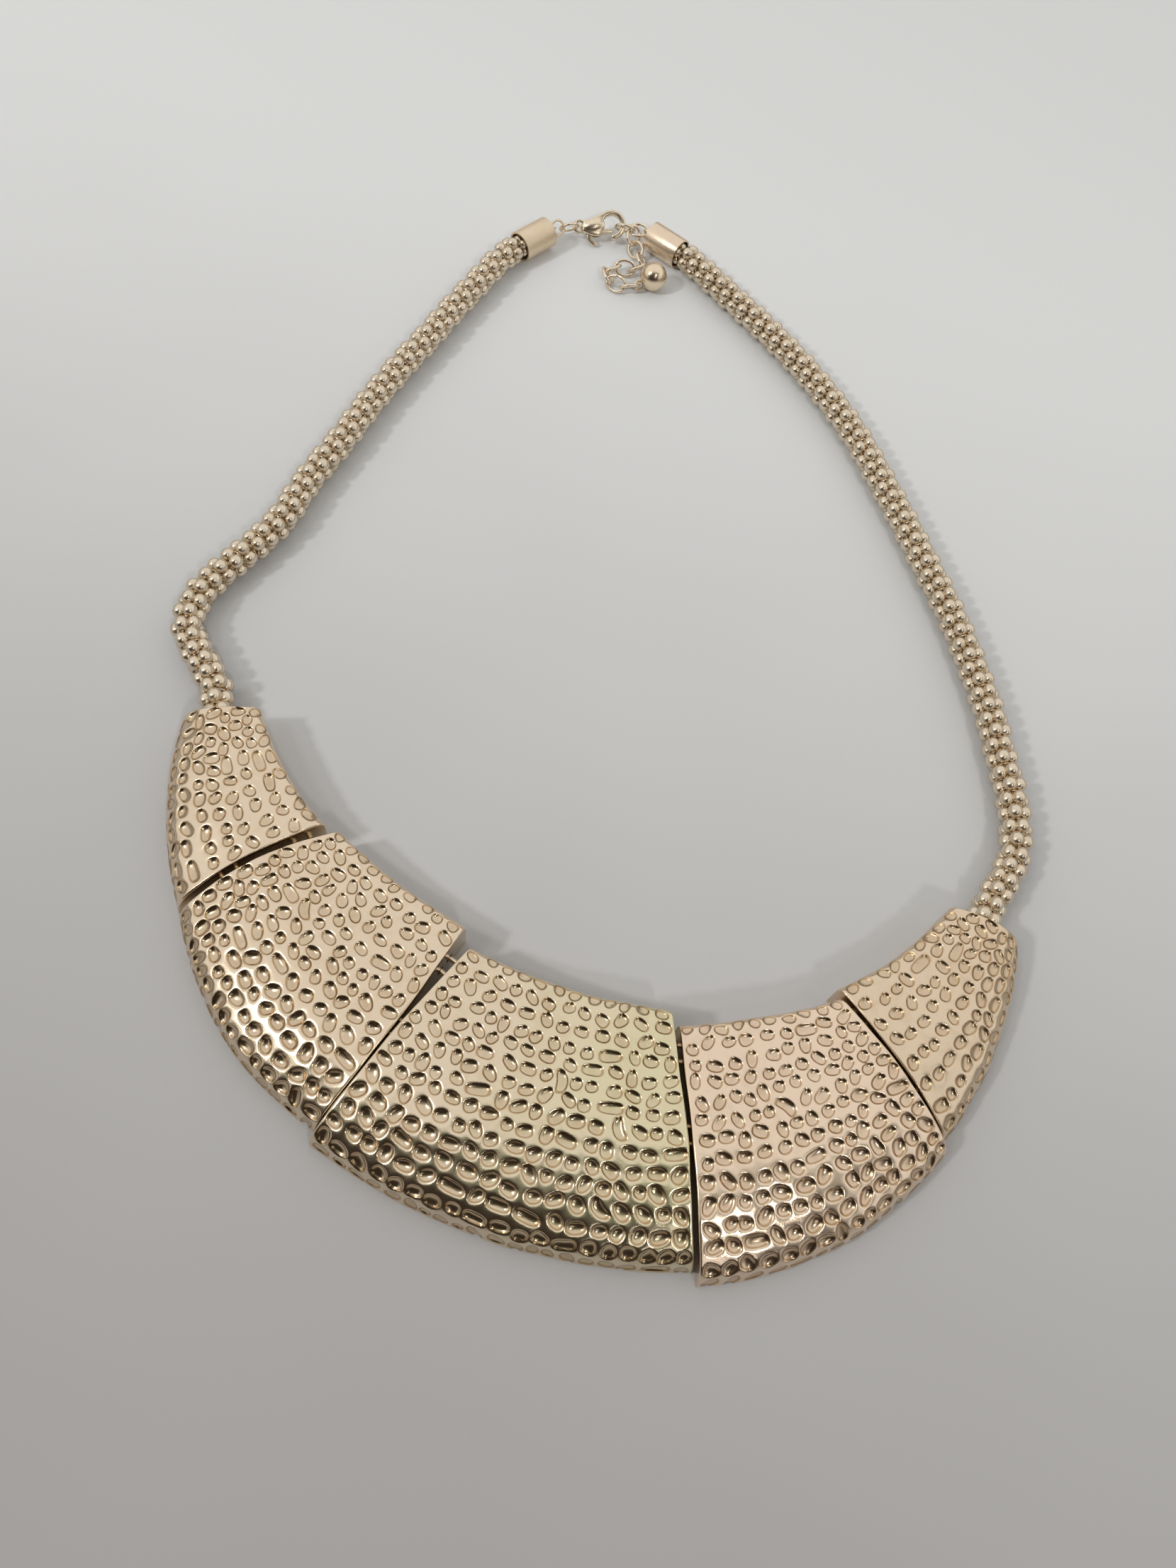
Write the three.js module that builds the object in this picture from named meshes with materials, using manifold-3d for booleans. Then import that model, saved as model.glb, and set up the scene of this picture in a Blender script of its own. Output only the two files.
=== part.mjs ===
// Bib necklace of five hammered metal plates on two popcorn chains, closed by a lobster
// clasp and an extender chain. It lies on a table at z = 0, as it would after being put down.
// Millimetres, +Z up, +Y from the plates towards the clasp. The origin is under the middle
// of the whole necklace. All coordinates below are in that frame unless a comment says so.
import * as THREE from 'three';
import { mergeVertices } from 'three/addons/utils/BufferGeometryUtils.js';
import Module from 'manifold-3d';

const wasm = await Module();
wasm.setup();

// ---- Driving dimensions -------------------------------------------------------------

// The plates are hollow pressed boxes, open underneath.
const WALL = 1.2;                // thickness of every plate wall
const RIM_HEIGHT = 0.8;          // upright part of the outer rim
const RIM_ROUND = 3.0;           // drop of the rounded outer rim
const RIM_REACH = 2.8;           // how far the rounded rim reaches in from the outer edge
const INNER_ROUND = 1.3;         // radius of the rounded inner edge
const SHOULDER = 0.35;           // share of the depth where the top starts to fall away
const FALL_POWER = 2.4;          // how quickly the fall steepens towards the rim
const INNER_DIP = 0.5;           // the inner edge lies this much under the crown
const TOP_STEPS = 10;            // facets of the top, from the start edge to the end edge
const INNER_BANDS = [0, 0.3, 0.65];                  // shares of the rounded inner edge
const TOP_BANDS = [0, 0.3, 0.5, 0.7, 0.85];          // shares of the top between the rounds
const RIM_BANDS = [0, 0.35, 0.65, 0.87, 1];          // shares of the rounded rim

// One row for each plate, from the left chain round to the right chain. "Inner" is the edge
// at the neck. Bows are the heights of the arcs: inner and outer away from the neck, and
// start and end towards the next higher plate, so that neighbours follow each other.
const PLATES = [
  { name: 'plate_left_end', crown: 8.3,
    innerStart: [-61.1, -20.6], innerEnd: [-48.9, -43.1],
    outerStart: [-75.8, -20.7], outerEnd: [-72.9, -56.2],
    innerBow: 1.4, outerBow: 2.5, startBow: 0.0, endBow: -0.5 },
  { name: 'plate_left', crown: 8.5,
    innerStart: [-46.2, -44.6], innerEnd: [-25.0, -61.9],
    outerStart: [-72.6, -57.6], outerEnd: [-48.6, -93.1],
    innerBow: 0.8, outerBow: 4.1, startBow: -1.4, endBow: 0.8 },
  { name: 'plate_centre', crown: 8.9,
    innerStart: [-24.2, -65.4], innerEnd: [8.3, -76.6],
    outerStart: [-49.4, -94.9], outerEnd: [9.3, -115.9],
    innerBow: 1.6, outerBow: 4.9, startBow: -0.3, endBow: 0.3 },
  { name: 'plate_right', crown: 8.7,
    innerStart: [9.3, -79.0], innerEnd: [36.9, -75.2],
    outerStart: [10.1, -117.9], outerEnd: [52.8, -100.0],
    innerBow: 0.8, outerBow: 4.4, startBow: 0.2, endBow: 0.5 },
  { name: 'plate_right_end', crown: 8.3,
    innerStart: [36.9, -73.5], innerEnd: [59.2, -59.3],
    outerStart: [52.6, -98.3], outerEnd: [72.5, -65.4],
    innerBow: 1.3, outerBow: 2.7, startBow: 0.3, endBow: 0.3 },
];

// Two plain rings tie each plate to the next, through holes in the facing walls.
const TIE = { length: 8.0, width: 3.6, wire: 0.9, height: 3.6, hole: 1.7 };
const TIE_FROM_NECK = [5, 18];   // distances along the joint from the inner edge

// Popcorn chains: a tube round the beads, along each chain's route from plate to cap.
const CHAIN_RADIUS = 3.25;
const CHAIN_HEIGHT = 3.3;        // of the centre line above the table
const CHAIN_TUCK_RADIUS = 2.6;   // the squeezed end that is glued inside a cap
const DOORWAY_CLEARANCE = 0.35;  // between a chain and the wall of its end plate
const LEFT_ROUTE = [
  [-67.2, -26.5], [-68.2, -22.5], [-69.4, -18.3], [-70.0, -14.0], [-71.8, -10.7], [-73.6, -7.3],
  [-75.5, -3.6], [-76.4, -0.3], [-74.9, 5.9], [-71.2, 11.3], [-66.2, 17.0], [-60.9, 24.1],
  [-56.2, 34.2], [-50.4, 44.2], [-44.5, 55.4], [-38.1, 66.2], [-32.5, 74.9], [-27.8, 82.7],
  [-22.0, 91.5], [-17.5, 98.4],
];
const RIGHT_ROUTE = [
  [61.8, -69.0], [63.5, -65.5], [65.6, -61.6], [67.9, -57.8], [70.6, -54.4], [72.7, -51.6],
  [74.8, -48.0], [75.9, -44.0], [76.7, -36.0], [76.3, -27.8], [76.1, -19.2], [75.0, -10.4],
  [73.6, -1.4], [71.9, 7.0], [69.5, 16.1], [66.7, 26.9], [63.5, 37.9], [59.9, 49.7],
  [55.1, 60.9], [48.8, 72.4], [42.8, 81.5], [36.0, 90.7], [30.6, 98.0],
];

// End caps: a cup over each chain's end, with a wire loop on its closed end.
const CAP = { radius: 3.35, bore: 2.95, length: 8.6, depth: 7.6, edge: 0.4, loop: 1.1, loopWire: 0.6 };
const LEFT_CAP = { mouth: [-12.3, 103.7], heading: 39.8, loopLean: -45 };
const RIGHT_CAP = { mouth: [25.3, 103.9], heading: 137.8, loopLean: 60 };
const CAP_GAP = 0.3;             // between the full chain and the cap's mouth
const TUCK_DEPTH = 5;            // how far the squeezed end reaches into the cap

// Two jump rings between the left cap and the clasp.
const JUMP_RINGS = [
  { name: 'jump_ring_1', x: -3.2, y: 110.7, z: 3.35, size: 3.8, wire: 0.6, heading: 20, lean: 53, pitch: 5 },
  { name: 'jump_ring_2', x: -0.45, y: 111.6, z: 2.95, size: 5.0, wire: 0.7, heading: 20, lean: -56, pitch: 12 },
];

// Lobster clasp, in its own frame: x from its eye to its nose, y towards the claw, z thickness.
const CLASP = { x: 2.0, y: 112.1, z: 2.9, heading: -5, roll: 38, thick: 2.0, bevel: 0.35 };
const EYE = { outer: 1.6, inner: 0.9 };
const CLAW = { x: 7.5, y: 1.0, outer: 3.3, inner: 2.1, tipAngle: -75, backAngle: 200 };
const PIVOT = { x: 2.9, y: -0.5, pin: 0.4, bore: 0.46 };
const LEVER = { thick: 0.8, slot: 1.2 };
const SLOT = [[1.7, 0.5], [3.0, 0.5], [6.8, 2.4], [6.8, -3.0], [1.7, -3.0]];

// Extender chain of oval links. The first two hang from the right cap and in the claw, and
// the third hooks over the second. The free links lie on the table, each given by its heading.
const LINK = { length: 5.2, width: 4.0, wire: 0.7, lean: 45, grip: 1.3 };
const HELD_LINKS = [
  { x: 16.0, y: 111.3, z: 3.35, heading: -14, lean: 13, pitch: -5 },
  { x: 12.7, y: 111.6, z: 3.4, heading: -19, lean: -61, pitch: -8 },
  { x: 14.75, y: 110.0, z: 2.8, heading: -104, lean: -28, pitch: 25 },
];
const FREE_HEADINGS = [-62, -80, -145, -195, -150, -80, -30, 10];
const FREE_HEIGHT = 1.55;        // of the free links' centres
const BALL = { radius: 3.1, heading: 20, eye: 0.95, eyeWire: 0.6 };

// ---- Materials ----------------------------------------------------------------------

const metal = (name, color, roughness) =>
  new THREE.MeshStandardMaterial({ name, color, roughness, metalness: 1 });
const plateGold = metal('plate_gold', 0xdcc59f, 0.25);
const chainGold = metal('chain_gold', 0xcdb58a, 0.28);
const capGold = metal('cap_gold', 0xd2ba90, 0.4);
const wireGold = metal('wire_gold', 0xe0c89b, 0.2);

// ---- Solids from and to three.js geometry ----------------------------------------------

function toSolid(geometry) {
  const bare = geometry.clone();
  bare.deleteAttribute('normal');
  bare.deleteAttribute('uv');
  const merged = mergeVertices(bare, 1e-5);
  return new wasm.Manifold(new wasm.Mesh({
    numProp: 3,
    vertProperties: new Float32Array(merged.attributes.position.array),
    triVerts: new Uint32Array(merged.index.array),
  }));
}

function fromSolid(solid) {
  const mesh = solid.getMesh();
  const geometry = new THREE.BufferGeometry();
  geometry.setAttribute('position', new THREE.BufferAttribute(mesh.vertProperties, 3));
  geometry.setIndex(new THREE.BufferAttribute(mesh.triVerts, 1));
  geometry.computeVertexNormals();
  return geometry;
}

function piece(name, geometry, material) {
  const mesh = new THREE.Mesh(geometry, material);
  mesh.name = name;
  return mesh;
}

// ---- Plates -------------------------------------------------------------------------

const mix = (from, to, share) => from + (to - from) * share;
const mix2 = (from, to, share) => [mix(from[0], to[0], share), mix(from[1], to[1], share)];
const distance2 = (from, to) => Math.hypot(to[0] - from[0], to[1] - from[1]);

// A point between two ends, pushed sideways by an arc of the given height.
function bowed(from, to, share, bow) {
  const [x, y] = mix2(from, to, share);
  const length = distance2(from, to);
  const push = bow * 4 * share * (1 - share) / length;
  return [x + (to[1] - from[1]) * push, y - (to[0] - from[0]) * push];
}

// Plan position at (across, deep): across runs from the start edge to the end edge, and
// deep from the inner edge to the outer rim.
function platePlan(plate, across, deep) {
  const start = bowed(plate.innerStart, plate.outerStart, deep, -plate.startBow);
  const end = bowed(plate.innerEnd, plate.outerEnd, deep, -plate.endBow);
  return bowed(start, end, across, mix(plate.innerBow, plate.outerBow, deep));
}

function plateDepth(plate, across) {
  return distance2(platePlan(plate, across, 0), platePlan(plate, across, 1));
}

// Height of the top: a shallow crown that falls away to a rounded rim at the outer edge.
function plateHeight(plate, across, deep) {
  const depth = plateDepth(plate, across);
  const fromNeck = deep * depth;
  const fromRim = (1 - deep) * depth;
  const shoulderRise = INNER_DIP * Math.min(deep / SHOULDER, 1) * (2 - Math.min(deep / SHOULDER, 1));
  const mainFall = plate.crown - RIM_HEIGHT - RIM_ROUND;
  const fall = mainFall * Math.max((deep - SHOULDER) / (1 - SHOULDER), 0) ** FALL_POWER;
  const rim = Math.max(1 - fromRim / RIM_REACH, 0);
  const inner = Math.max(1 - fromNeck / INNER_ROUND, 0);
  return plate.crown - INNER_DIP + shoulderRise - fall
    - RIM_ROUND * (1 - Math.sqrt(1 - rim * rim))
    - INNER_ROUND * (1 - Math.sqrt(1 - inner * inner));
}

// A closed block under a grid of top points, down to the level "bottom".
function blockUnder(rows, bottom) {
  const count = rows.length;
  const width = rows[0].length;
  const positions = [];
  for (const row of rows) for (const [x, y, z] of row) positions.push(x, y, z);
  for (const row of rows) for (const [x, y] of row) positions.push(x, y, bottom);
  const top = (i, j) => i * width + j;
  const low = (i, j) => count * width + i * width + j;
  const index = [];
  const quad = (a, b, c, d) => index.push(a, c, b, a, d, c);
  for (let i = 0; i + 1 < count; i++) {
    for (let j = 0; j + 1 < width; j++) {
      quad(top(i, j), top(i + 1, j), top(i + 1, j + 1), top(i, j + 1));
      quad(low(i, j), low(i, j + 1), low(i + 1, j + 1), low(i + 1, j));
    }
    quad(top(i + 1, 0), top(i, 0), low(i, 0), low(i + 1, 0));
    quad(top(i, width - 1), top(i + 1, width - 1), low(i + 1, width - 1), low(i, width - 1));
  }
  for (let j = 0; j + 1 < width; j++) {
    quad(top(0, j), top(0, j + 1), low(0, j + 1), low(0, j));
    quad(top(count - 1, j + 1), top(count - 1, j), low(count - 1, j), low(count - 1, j + 1));
  }
  const geometry = new THREE.BufferGeometry();
  geometry.setAttribute('position', new THREE.Float32BufferAttribute(positions, 3));
  geometry.setIndex(index);
  return geometry;
}

// Rows of top points, kept "inset" away from all four edges and lowered by "sink". The
// points stand closer together over the two rounded edges.
function topRows(plate, inset, sink) {
  const rows = [];
  for (let i = 0; i <= TOP_STEPS; i++) {
    const share = i / TOP_STEPS;
    const depth = plateDepth(plate, share);
    const from = INNER_ROUND / depth;
    const to = 1 - RIM_REACH / depth;
    const bands = [
      ...INNER_BANDS.map((band) => band * from),
      ...TOP_BANDS.map((band) => mix(from, to, band)),
      ...RIM_BANDS.map((band) => mix(to, 1, band)),
    ];
    rows.push(bands.map((band) => {
      const deep = mix(inset / depth, 1 - inset / depth, band);
      const width = distance2(platePlan(plate, 0, deep), platePlan(plate, 1, deep));
      const at = mix(inset / width, 1 - inset / width, share);
      return [...platePlan(plate, at, deep), plateHeight(plate, at, deep) - sink];
    }));
  }
  return rows;
}

function plateSolid(plate, cuts) {
  let solid = toSolid(blockUnder(topRows(plate, 0, 0), 0));
  solid = solid.subtract(toSolid(blockUnder(topRows(plate, WALL, WALL), -1)));
  for (const cut of cuts) solid = solid.subtract(cut);
  return fromSolid(solid);
}

// ---- Wire rings -----------------------------------------------------------------------

// A closed oval of wire in the XY plane, its length along X, measured over the outside.
function ovalRing(length, width, wire, around = 14, sides = 6) {
  const a = (length - wire) / 2;
  const b = (width - wire) / 2;
  const positions = [];
  const index = [];
  for (let i = 0; i < around; i++) {
    const turn = 2 * Math.PI * i / around;
    const normal = new THREE.Vector2(b * Math.cos(turn), a * Math.sin(turn)).normalize();
    for (let j = 0; j < sides; j++) {
      const roll = 2 * Math.PI * j / sides;
      const out = wire / 2 * Math.cos(roll);
      positions.push(a * Math.cos(turn) + normal.x * out, b * Math.sin(turn) + normal.y * out,
        wire / 2 * Math.sin(roll));
      const next = (i + 1) % around;
      const up = (j + 1) % sides;
      index.push(i * sides + j, next * sides + j, next * sides + up);
      index.push(i * sides + j, next * sides + up, i * sides + up);
    }
  }
  const geometry = new THREE.BufferGeometry();
  geometry.setAttribute('position', new THREE.Float32BufferAttribute(positions, 3));
  geometry.setIndex(index);
  return geometry;
}

// Where a ring lies: its long axis points along the heading, dips by "pitch", and its plane
// leans over about that axis. Angles are in degrees.
function ringPlace({ x, y, z, heading, lean = 0, pitch = 0 }) {
  const rad = THREE.MathUtils.degToRad;
  const turn = new THREE.Euler(rad(lean), rad(pitch), rad(heading), 'ZYX');
  return new THREE.Matrix4().makeRotationFromEuler(turn).setPosition(x, y, z);
}

function placed(mesh, matrix) {
  mesh.applyMatrix4(matrix);
  return mesh;
}

// ---- Ties between the plates -------------------------------------------------------------

// The ties of the joint between one plate and the next: across the joint, level.
function tiePlaces(before, after) {
  return TIE_FROM_NECK.map((reach) => {
    const deep = reach / distance2(before.innerEnd, before.outerEnd);
    const near = platePlan(before, 1, deep);
    const far = platePlan(after, 0, reach / distance2(after.innerStart, after.outerStart));
    const [x, y] = mix2(near, far, 0.5);
    const along = [
      before.outerEnd[0] - before.innerEnd[0] + after.outerStart[0] - after.innerStart[0],
      before.outerEnd[1] - before.innerEnd[1] + after.outerStart[1] - after.innerStart[1],
    ];
    const heading = THREE.MathUtils.radToDeg(Math.atan2(along[0], -along[1]));
    return ringPlace({ x, y, z: TIE.height, heading });
  });
}

function tieHole(place) {
  const grow = TIE.hole - TIE.wire;
  return toSolid(ovalRing(TIE.length + grow, TIE.width + grow, TIE.hole, 12, 6).applyMatrix4(place));
}

// ---- Chains -----------------------------------------------------------------------------

function tube(points, radius, steps, sides = 10) {
  const circle = new THREE.Shape(Array.from({ length: sides }, (_, k) => new THREE.Vector2(
    radius * Math.cos(2 * Math.PI * k / sides), radius * Math.sin(2 * Math.PI * k / sides))));
  const extrudePath = new THREE.CatmullRomCurve3(points, false, 'centripetal');
  return new THREE.ExtrudeGeometry(circle, { steps, extrudePath, bevelEnabled: false });
}

function alongCap(cap, distance, height) {
  const heading = THREE.MathUtils.degToRad(cap.heading);
  return new THREE.Vector3(cap.mouth[0] + distance * Math.cos(heading),
    cap.mouth[1] + distance * Math.sin(heading), height);
}

// A chain's centre line, from inside its plate to just short of its cap.
function chainLine(route, cap) {
  return [...route.map(([x, y]) => new THREE.Vector3(x, y, CHAIN_HEIGHT)),
    alongCap(cap, -3, CAP.radius), alongCap(cap, -CAP_GAP, CAP.radius)];
}

function chainGeometry(route, cap, steps) {
  const full = toSolid(tube(chainLine(route, cap), CHAIN_RADIUS, steps));
  const tuck = tube([alongCap(cap, -2, CAP.radius), alongCap(cap, TUCK_DEPTH, CAP.radius)],
    CHAIN_TUCK_RADIUS, 1);
  return fromSolid(full.add(toSolid(tuck)));
}

// What the chain's end needs free in its plate: the chain's own line, a little fatter.
function doorway(route) {
  const line = route.slice(0, 3).map(([x, y]) => new THREE.Vector3(x, y, CHAIN_HEIGHT));
  return toSolid(tube(line, CHAIN_RADIUS + DOORWAY_CLEARANCE, 4, 16));
}

// ---- End caps ---------------------------------------------------------------------------

// The cap's mouth is at the origin, and it points along X.
function capGeometry(cap) {
  const { radius, bore, length, depth, edge } = CAP;
  const profile = [
    [0, depth], [bore, depth], [bore, 0.2], [bore + 0.15, 0], [radius - 0.1, 0], [radius, 0.1],
    [radius, length - edge], [radius - edge * 0.3, length - edge * 0.3], [radius - edge, length],
    [0, length],
  ].map(([r, along]) => new THREE.Vector2(r, along));
  const cup = new THREE.LatheGeometry(profile, 20).rotateZ(-Math.PI / 2);
  const loop = ovalRing(2 * CAP.loop + CAP.loopWire, 2 * CAP.loop + CAP.loopWire, CAP.loopWire)
    .rotateX(THREE.MathUtils.degToRad(cap.loopLean))
    .translate(length + CAP.loop - 0.1, 0, 0);
  return fromSolid(toSolid(cup).add(toSolid(loop)));
}

function capPlace(cap) {
  return ringPlace({ x: cap.mouth[0], y: cap.mouth[1], z: CAP.radius, heading: cap.heading });
}

// ---- Lobster clasp ------------------------------------------------------------------------

function plateOf(shape, thick, bevel) {
  return new THREE.ExtrudeGeometry(shape, {
    depth: thick - 2 * bevel, curveSegments: 5, bevelEnabled: bevel > 0, bevelThickness: bevel,
    bevelSize: bevel, bevelOffset: -bevel, bevelSegments: 2,
  }).translate(0, 0, -(thick / 2 - bevel));
}

function clawShape() {
  const { x, y, outer, inner, tipAngle, backAngle } = CLAW;
  const tip = THREE.MathUtils.degToRad(tipAngle);
  const middle = (outer + inner) / 2;
  const shape = new THREE.Shape();
  shape.moveTo(0.7, 1.15);
  shape.bezierCurveTo(1.9, 1.5, 3.2, 2.2, 4.4, 3.0);
  shape.absarc(x, y, outer, THREE.MathUtils.degToRad(132), tip, true);
  shape.absarc(x + middle * Math.cos(tip), y + middle * Math.sin(tip), (outer - inner) / 2,
    tip, tip - Math.PI, true);
  shape.absarc(x, y, inner, tip, THREE.MathUtils.degToRad(backAngle), false);
  shape.lineTo(5.0, -1.7);
  shape.bezierCurveTo(3.4, -2.2, 1.6, -1.5, 0.7, -1.1);
  return shape;
}

// One arm shuts the claw, and the other is the thumb tab outside the body.
function leverShape() {
  const shape = new THREE.Shape();
  shape.moveTo(3.0, 0.15);
  shape.bezierCurveTo(4.6, 0.1, 6.2, 0.0, 7.5, 0.1);
  shape.bezierCurveTo(8.0, 0.05, 8.0, -0.75, 7.4, -0.8);
  shape.bezierCurveTo(6.2, -1.3, 4.8, -1.6, 3.8, -1.3);
  shape.bezierCurveTo(3.0, -1.5, 2.8, -2.1, 3.3, -2.5);
  shape.lineTo(4.3, -3.1);
  shape.bezierCurveTo(4.8, -3.5, 4.4, -4.2, 3.7, -3.9);
  shape.bezierCurveTo(2.4, -3.3, 1.6, -2.6, 1.95, -1.2);
  shape.bezierCurveTo(1.95, -0.3, 2.3, 0.15, 3.0, 0.15);
  return shape;
}

const cylinderAt = (x, y, radius, height) =>
  new THREE.CylinderGeometry(radius, radius, height, 16).rotateX(Math.PI / 2).translate(x, y, 0);

// The slot between the cheeks of the claw, wide enough for the lever to swing in.
function slotSolid() {
  const outline = new THREE.Shape(SLOT.map(([x, y]) => new THREE.Vector2(x, y)));
  return toSolid(plateOf(outline, LEVER.slot, 0));
}

function claspBodyGeometry() {
  const claw = toSolid(plateOf(clawShape(), CLASP.thick, CLASP.bevel));
  const eyeRing = toSolid(ovalRing(2 * EYE.outer, 2 * EYE.outer, EYE.outer - EYE.inner));
  const pin = toSolid(cylinderAt(PIVOT.x, PIVOT.y, PIVOT.pin, CLASP.thick - 0.2));
  return fromSolid(claw.subtract(slotSolid()).add(pin).add(eyeRing));
}

function leverGeometry() {
  const bore = toSolid(cylinderAt(PIVOT.x, PIVOT.y, PIVOT.bore, CLASP.thick));
  return fromSolid(toSolid(plateOf(leverShape(), LEVER.thick, 0.15)).subtract(bore));
}

const claspPlace = () => ringPlace({ ...CLASP, lean: CLASP.roll });

// ---- Extender ---------------------------------------------------------------------------------

const direction = (degrees) => {
  const angle = THREE.MathUtils.degToRad(degrees);
  return new THREE.Vector2(Math.cos(angle), Math.sin(angle));
};

// Each free link grips the one before it: the sharper the turn, the closer they lie.
function extenderPlaces() {
  const places = [...HELD_LINKS];
  FREE_HEADINGS.forEach((heading, k) => {
    const before = places.at(-1);
    const turn = Math.cos(THREE.MathUtils.degToRad(heading - before.heading));
    const half = (LINK.length - LINK.wire) / 2;
    const step = (LINK.grip + half * turn) / (1 + turn);
    const way = direction(before.heading).add(direction(heading)).multiplyScalar(step);
    const lean = k % 2 ? -LINK.lean : LINK.lean;
    places.push({ x: before.x + way.x, y: before.y + way.y, z: FREE_HEIGHT, heading, lean });
  });
  return places;
}

// The ball rests on the table, with its eye round the far end of the last link.
function ballGeometry() {
  const last = extenderPlaces().at(-1);
  const reach = BALL.radius + BALL.eye - BALL.eyeWire / 2;
  const drop = BALL.radius - FREE_HEIGHT;
  const flat = Math.sqrt(reach * reach - drop * drop);
  const end = direction(last.heading).multiplyScalar((LINK.length - LINK.wire) / 2);
  const way = direction(BALL.heading).multiplyScalar(flat);
  const eye = ringPlace({ x: last.x + end.x, y: last.y + end.y, z: FREE_HEIGHT,
    heading: BALL.heading, lean: -last.lean, pitch: -THREE.MathUtils.radToDeg(Math.asin(drop / reach)) });
  const size = 2 * BALL.eye + BALL.eyeWire;
  const ball = new THREE.SphereGeometry(BALL.radius, 20, 12)
    .translate(last.x + end.x + way.x, last.y + end.y + way.y, BALL.radius);
  return fromSolid(toSolid(ball).add(toSolid(ovalRing(size, size, BALL.eyeWire).applyMatrix4(eye))));
}

// ---- Assembly -------------------------------------------------------------------------------

const necklace = new THREE.Group();

const ties = [];
for (let k = 0; k + 1 < PLATES.length; k++) ties.push(tiePlaces(PLATES[k], PLATES[k + 1]));

PLATES.forEach((plate, k) => {
  const cuts = [...(ties[k - 1] ?? []), ...(ties[k] ?? [])].map(tieHole);
  if (k === 0) cuts.push(doorway(LEFT_ROUTE));
  if (k === PLATES.length - 1) cuts.push(doorway(RIGHT_ROUTE));
  necklace.add(piece(plate.name, plateSolid(plate, cuts), plateGold));
});

ties.flat().forEach((place, k) => {
  const ring = piece(`tie_ring_${k + 1}`, ovalRing(TIE.length, TIE.width, TIE.wire), wireGold);
  necklace.add(placed(ring, place));
});

necklace.add(piece('chain_left', chainGeometry(LEFT_ROUTE, LEFT_CAP, 40), chainGold));
necklace.add(piece('chain_right', chainGeometry(RIGHT_ROUTE, RIGHT_CAP, 48), chainGold));
necklace.add(placed(piece('cap_left', capGeometry(LEFT_CAP), capGold), capPlace(LEFT_CAP)));
necklace.add(placed(piece('cap_right', capGeometry(RIGHT_CAP), capGold), capPlace(RIGHT_CAP)));

for (const ring of JUMP_RINGS) {
  necklace.add(placed(piece(ring.name, ovalRing(ring.size, ring.size, ring.wire), wireGold),
    ringPlace(ring)));
}

extenderPlaces().forEach((place, k) => {
  const ring = piece(`extender_link_${k + 1}`, ovalRing(LINK.length, LINK.width, LINK.wire), wireGold);
  necklace.add(placed(ring, ringPlace(place)));
});
necklace.add(piece('end_ball', ballGeometry(), capGold));

const clasp = new THREE.Group();
clasp.add(piece('clasp_body', claspBodyGeometry(), wireGold));
clasp.add(piece('clasp_lever', leverGeometry(), wireGold));
clasp.applyMatrix4(claspPlace());
necklace.add(clasp);

export default necklace;
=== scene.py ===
import math
import random

import bpy
import numpy as np
from mathutils import Matrix, Vector


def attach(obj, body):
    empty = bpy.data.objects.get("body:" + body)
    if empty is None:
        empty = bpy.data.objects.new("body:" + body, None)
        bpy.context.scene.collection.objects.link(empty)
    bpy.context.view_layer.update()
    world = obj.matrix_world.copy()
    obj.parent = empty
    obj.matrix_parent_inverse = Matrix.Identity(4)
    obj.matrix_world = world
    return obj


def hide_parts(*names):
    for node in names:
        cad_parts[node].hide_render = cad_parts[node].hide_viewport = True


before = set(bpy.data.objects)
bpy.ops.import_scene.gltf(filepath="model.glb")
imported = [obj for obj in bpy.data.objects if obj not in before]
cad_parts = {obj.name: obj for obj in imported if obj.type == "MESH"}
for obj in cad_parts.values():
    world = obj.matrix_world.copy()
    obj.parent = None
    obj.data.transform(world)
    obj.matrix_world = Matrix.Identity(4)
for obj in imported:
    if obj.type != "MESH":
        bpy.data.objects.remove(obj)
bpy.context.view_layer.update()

# A bib necklace of five dented plates on two popcorn chains, laid out on a pale table.
# Sizes are in millimetres until a mesh is made, and then they are multiplied by MM.
MM = 0.001

# ---- Camera ---------------------------------------------------------------------------

LENS_MM = 27.0
SENSOR_MM = 36.0
CAMERA_PLACE = (-25.9, -125.4, 193.8)
CAMERA_RIGHT = (0.9942, -0.0469, 0.0974)
CAMERA_UP = (0.0, 0.9009, 0.4341)
CAMERA_BACK = (-0.1081, -0.4316, 0.8956)


def set_camera():
    """A camera that stands over the near side of the table, turned by its three axes."""
    data = bpy.data.cameras.new("camera")
    data.sensor_width = SENSOR_MM
    data.lens = LENS_MM
    data.clip_start = 0.01
    data.clip_end = 20
    camera = bpy.data.objects.new("camera", data)
    bpy.context.scene.collection.objects.link(camera)
    turn = Matrix((CAMERA_RIGHT, CAMERA_UP, CAMERA_BACK)).transposed().to_4x4()
    camera.matrix_world = Matrix.Translation(Vector(CAMERA_PLACE) * MM) @ turn
    bpy.context.scene.camera = camera


set_camera()

# ---- Tools for modelling --------------------------------------------------------------


def only(piece):
    """Makes this piece the one that operators act on."""
    if bpy.context.mode != "OBJECT":
        bpy.ops.object.mode_set(mode="OBJECT")
    bpy.ops.object.select_all(action="DESELECT")
    piece.select_set(True)
    bpy.context.view_layer.objects.active = piece


def named(name):
    """Names the primitive that was just added, which is the only thing selected."""
    piece = bpy.context.active_object
    piece.name = name
    piece.data.name = name
    only(piece)
    return piece


def pick_faces(piece, test):
    """Opens edit mode with only those faces picked whose middle and normal pass the test."""
    only(piece)
    mesh = piece.data
    for group in (mesh.vertices, mesh.edges, mesh.polygons):
        group.foreach_set("select", [False] * len(group))
    for face in mesh.polygons:
        face.select = test(face.center / MM, face.normal)
    bpy.context.tool_settings.mesh_select_mode = (False, False, True)
    bpy.ops.object.mode_set(mode="EDIT")


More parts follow.
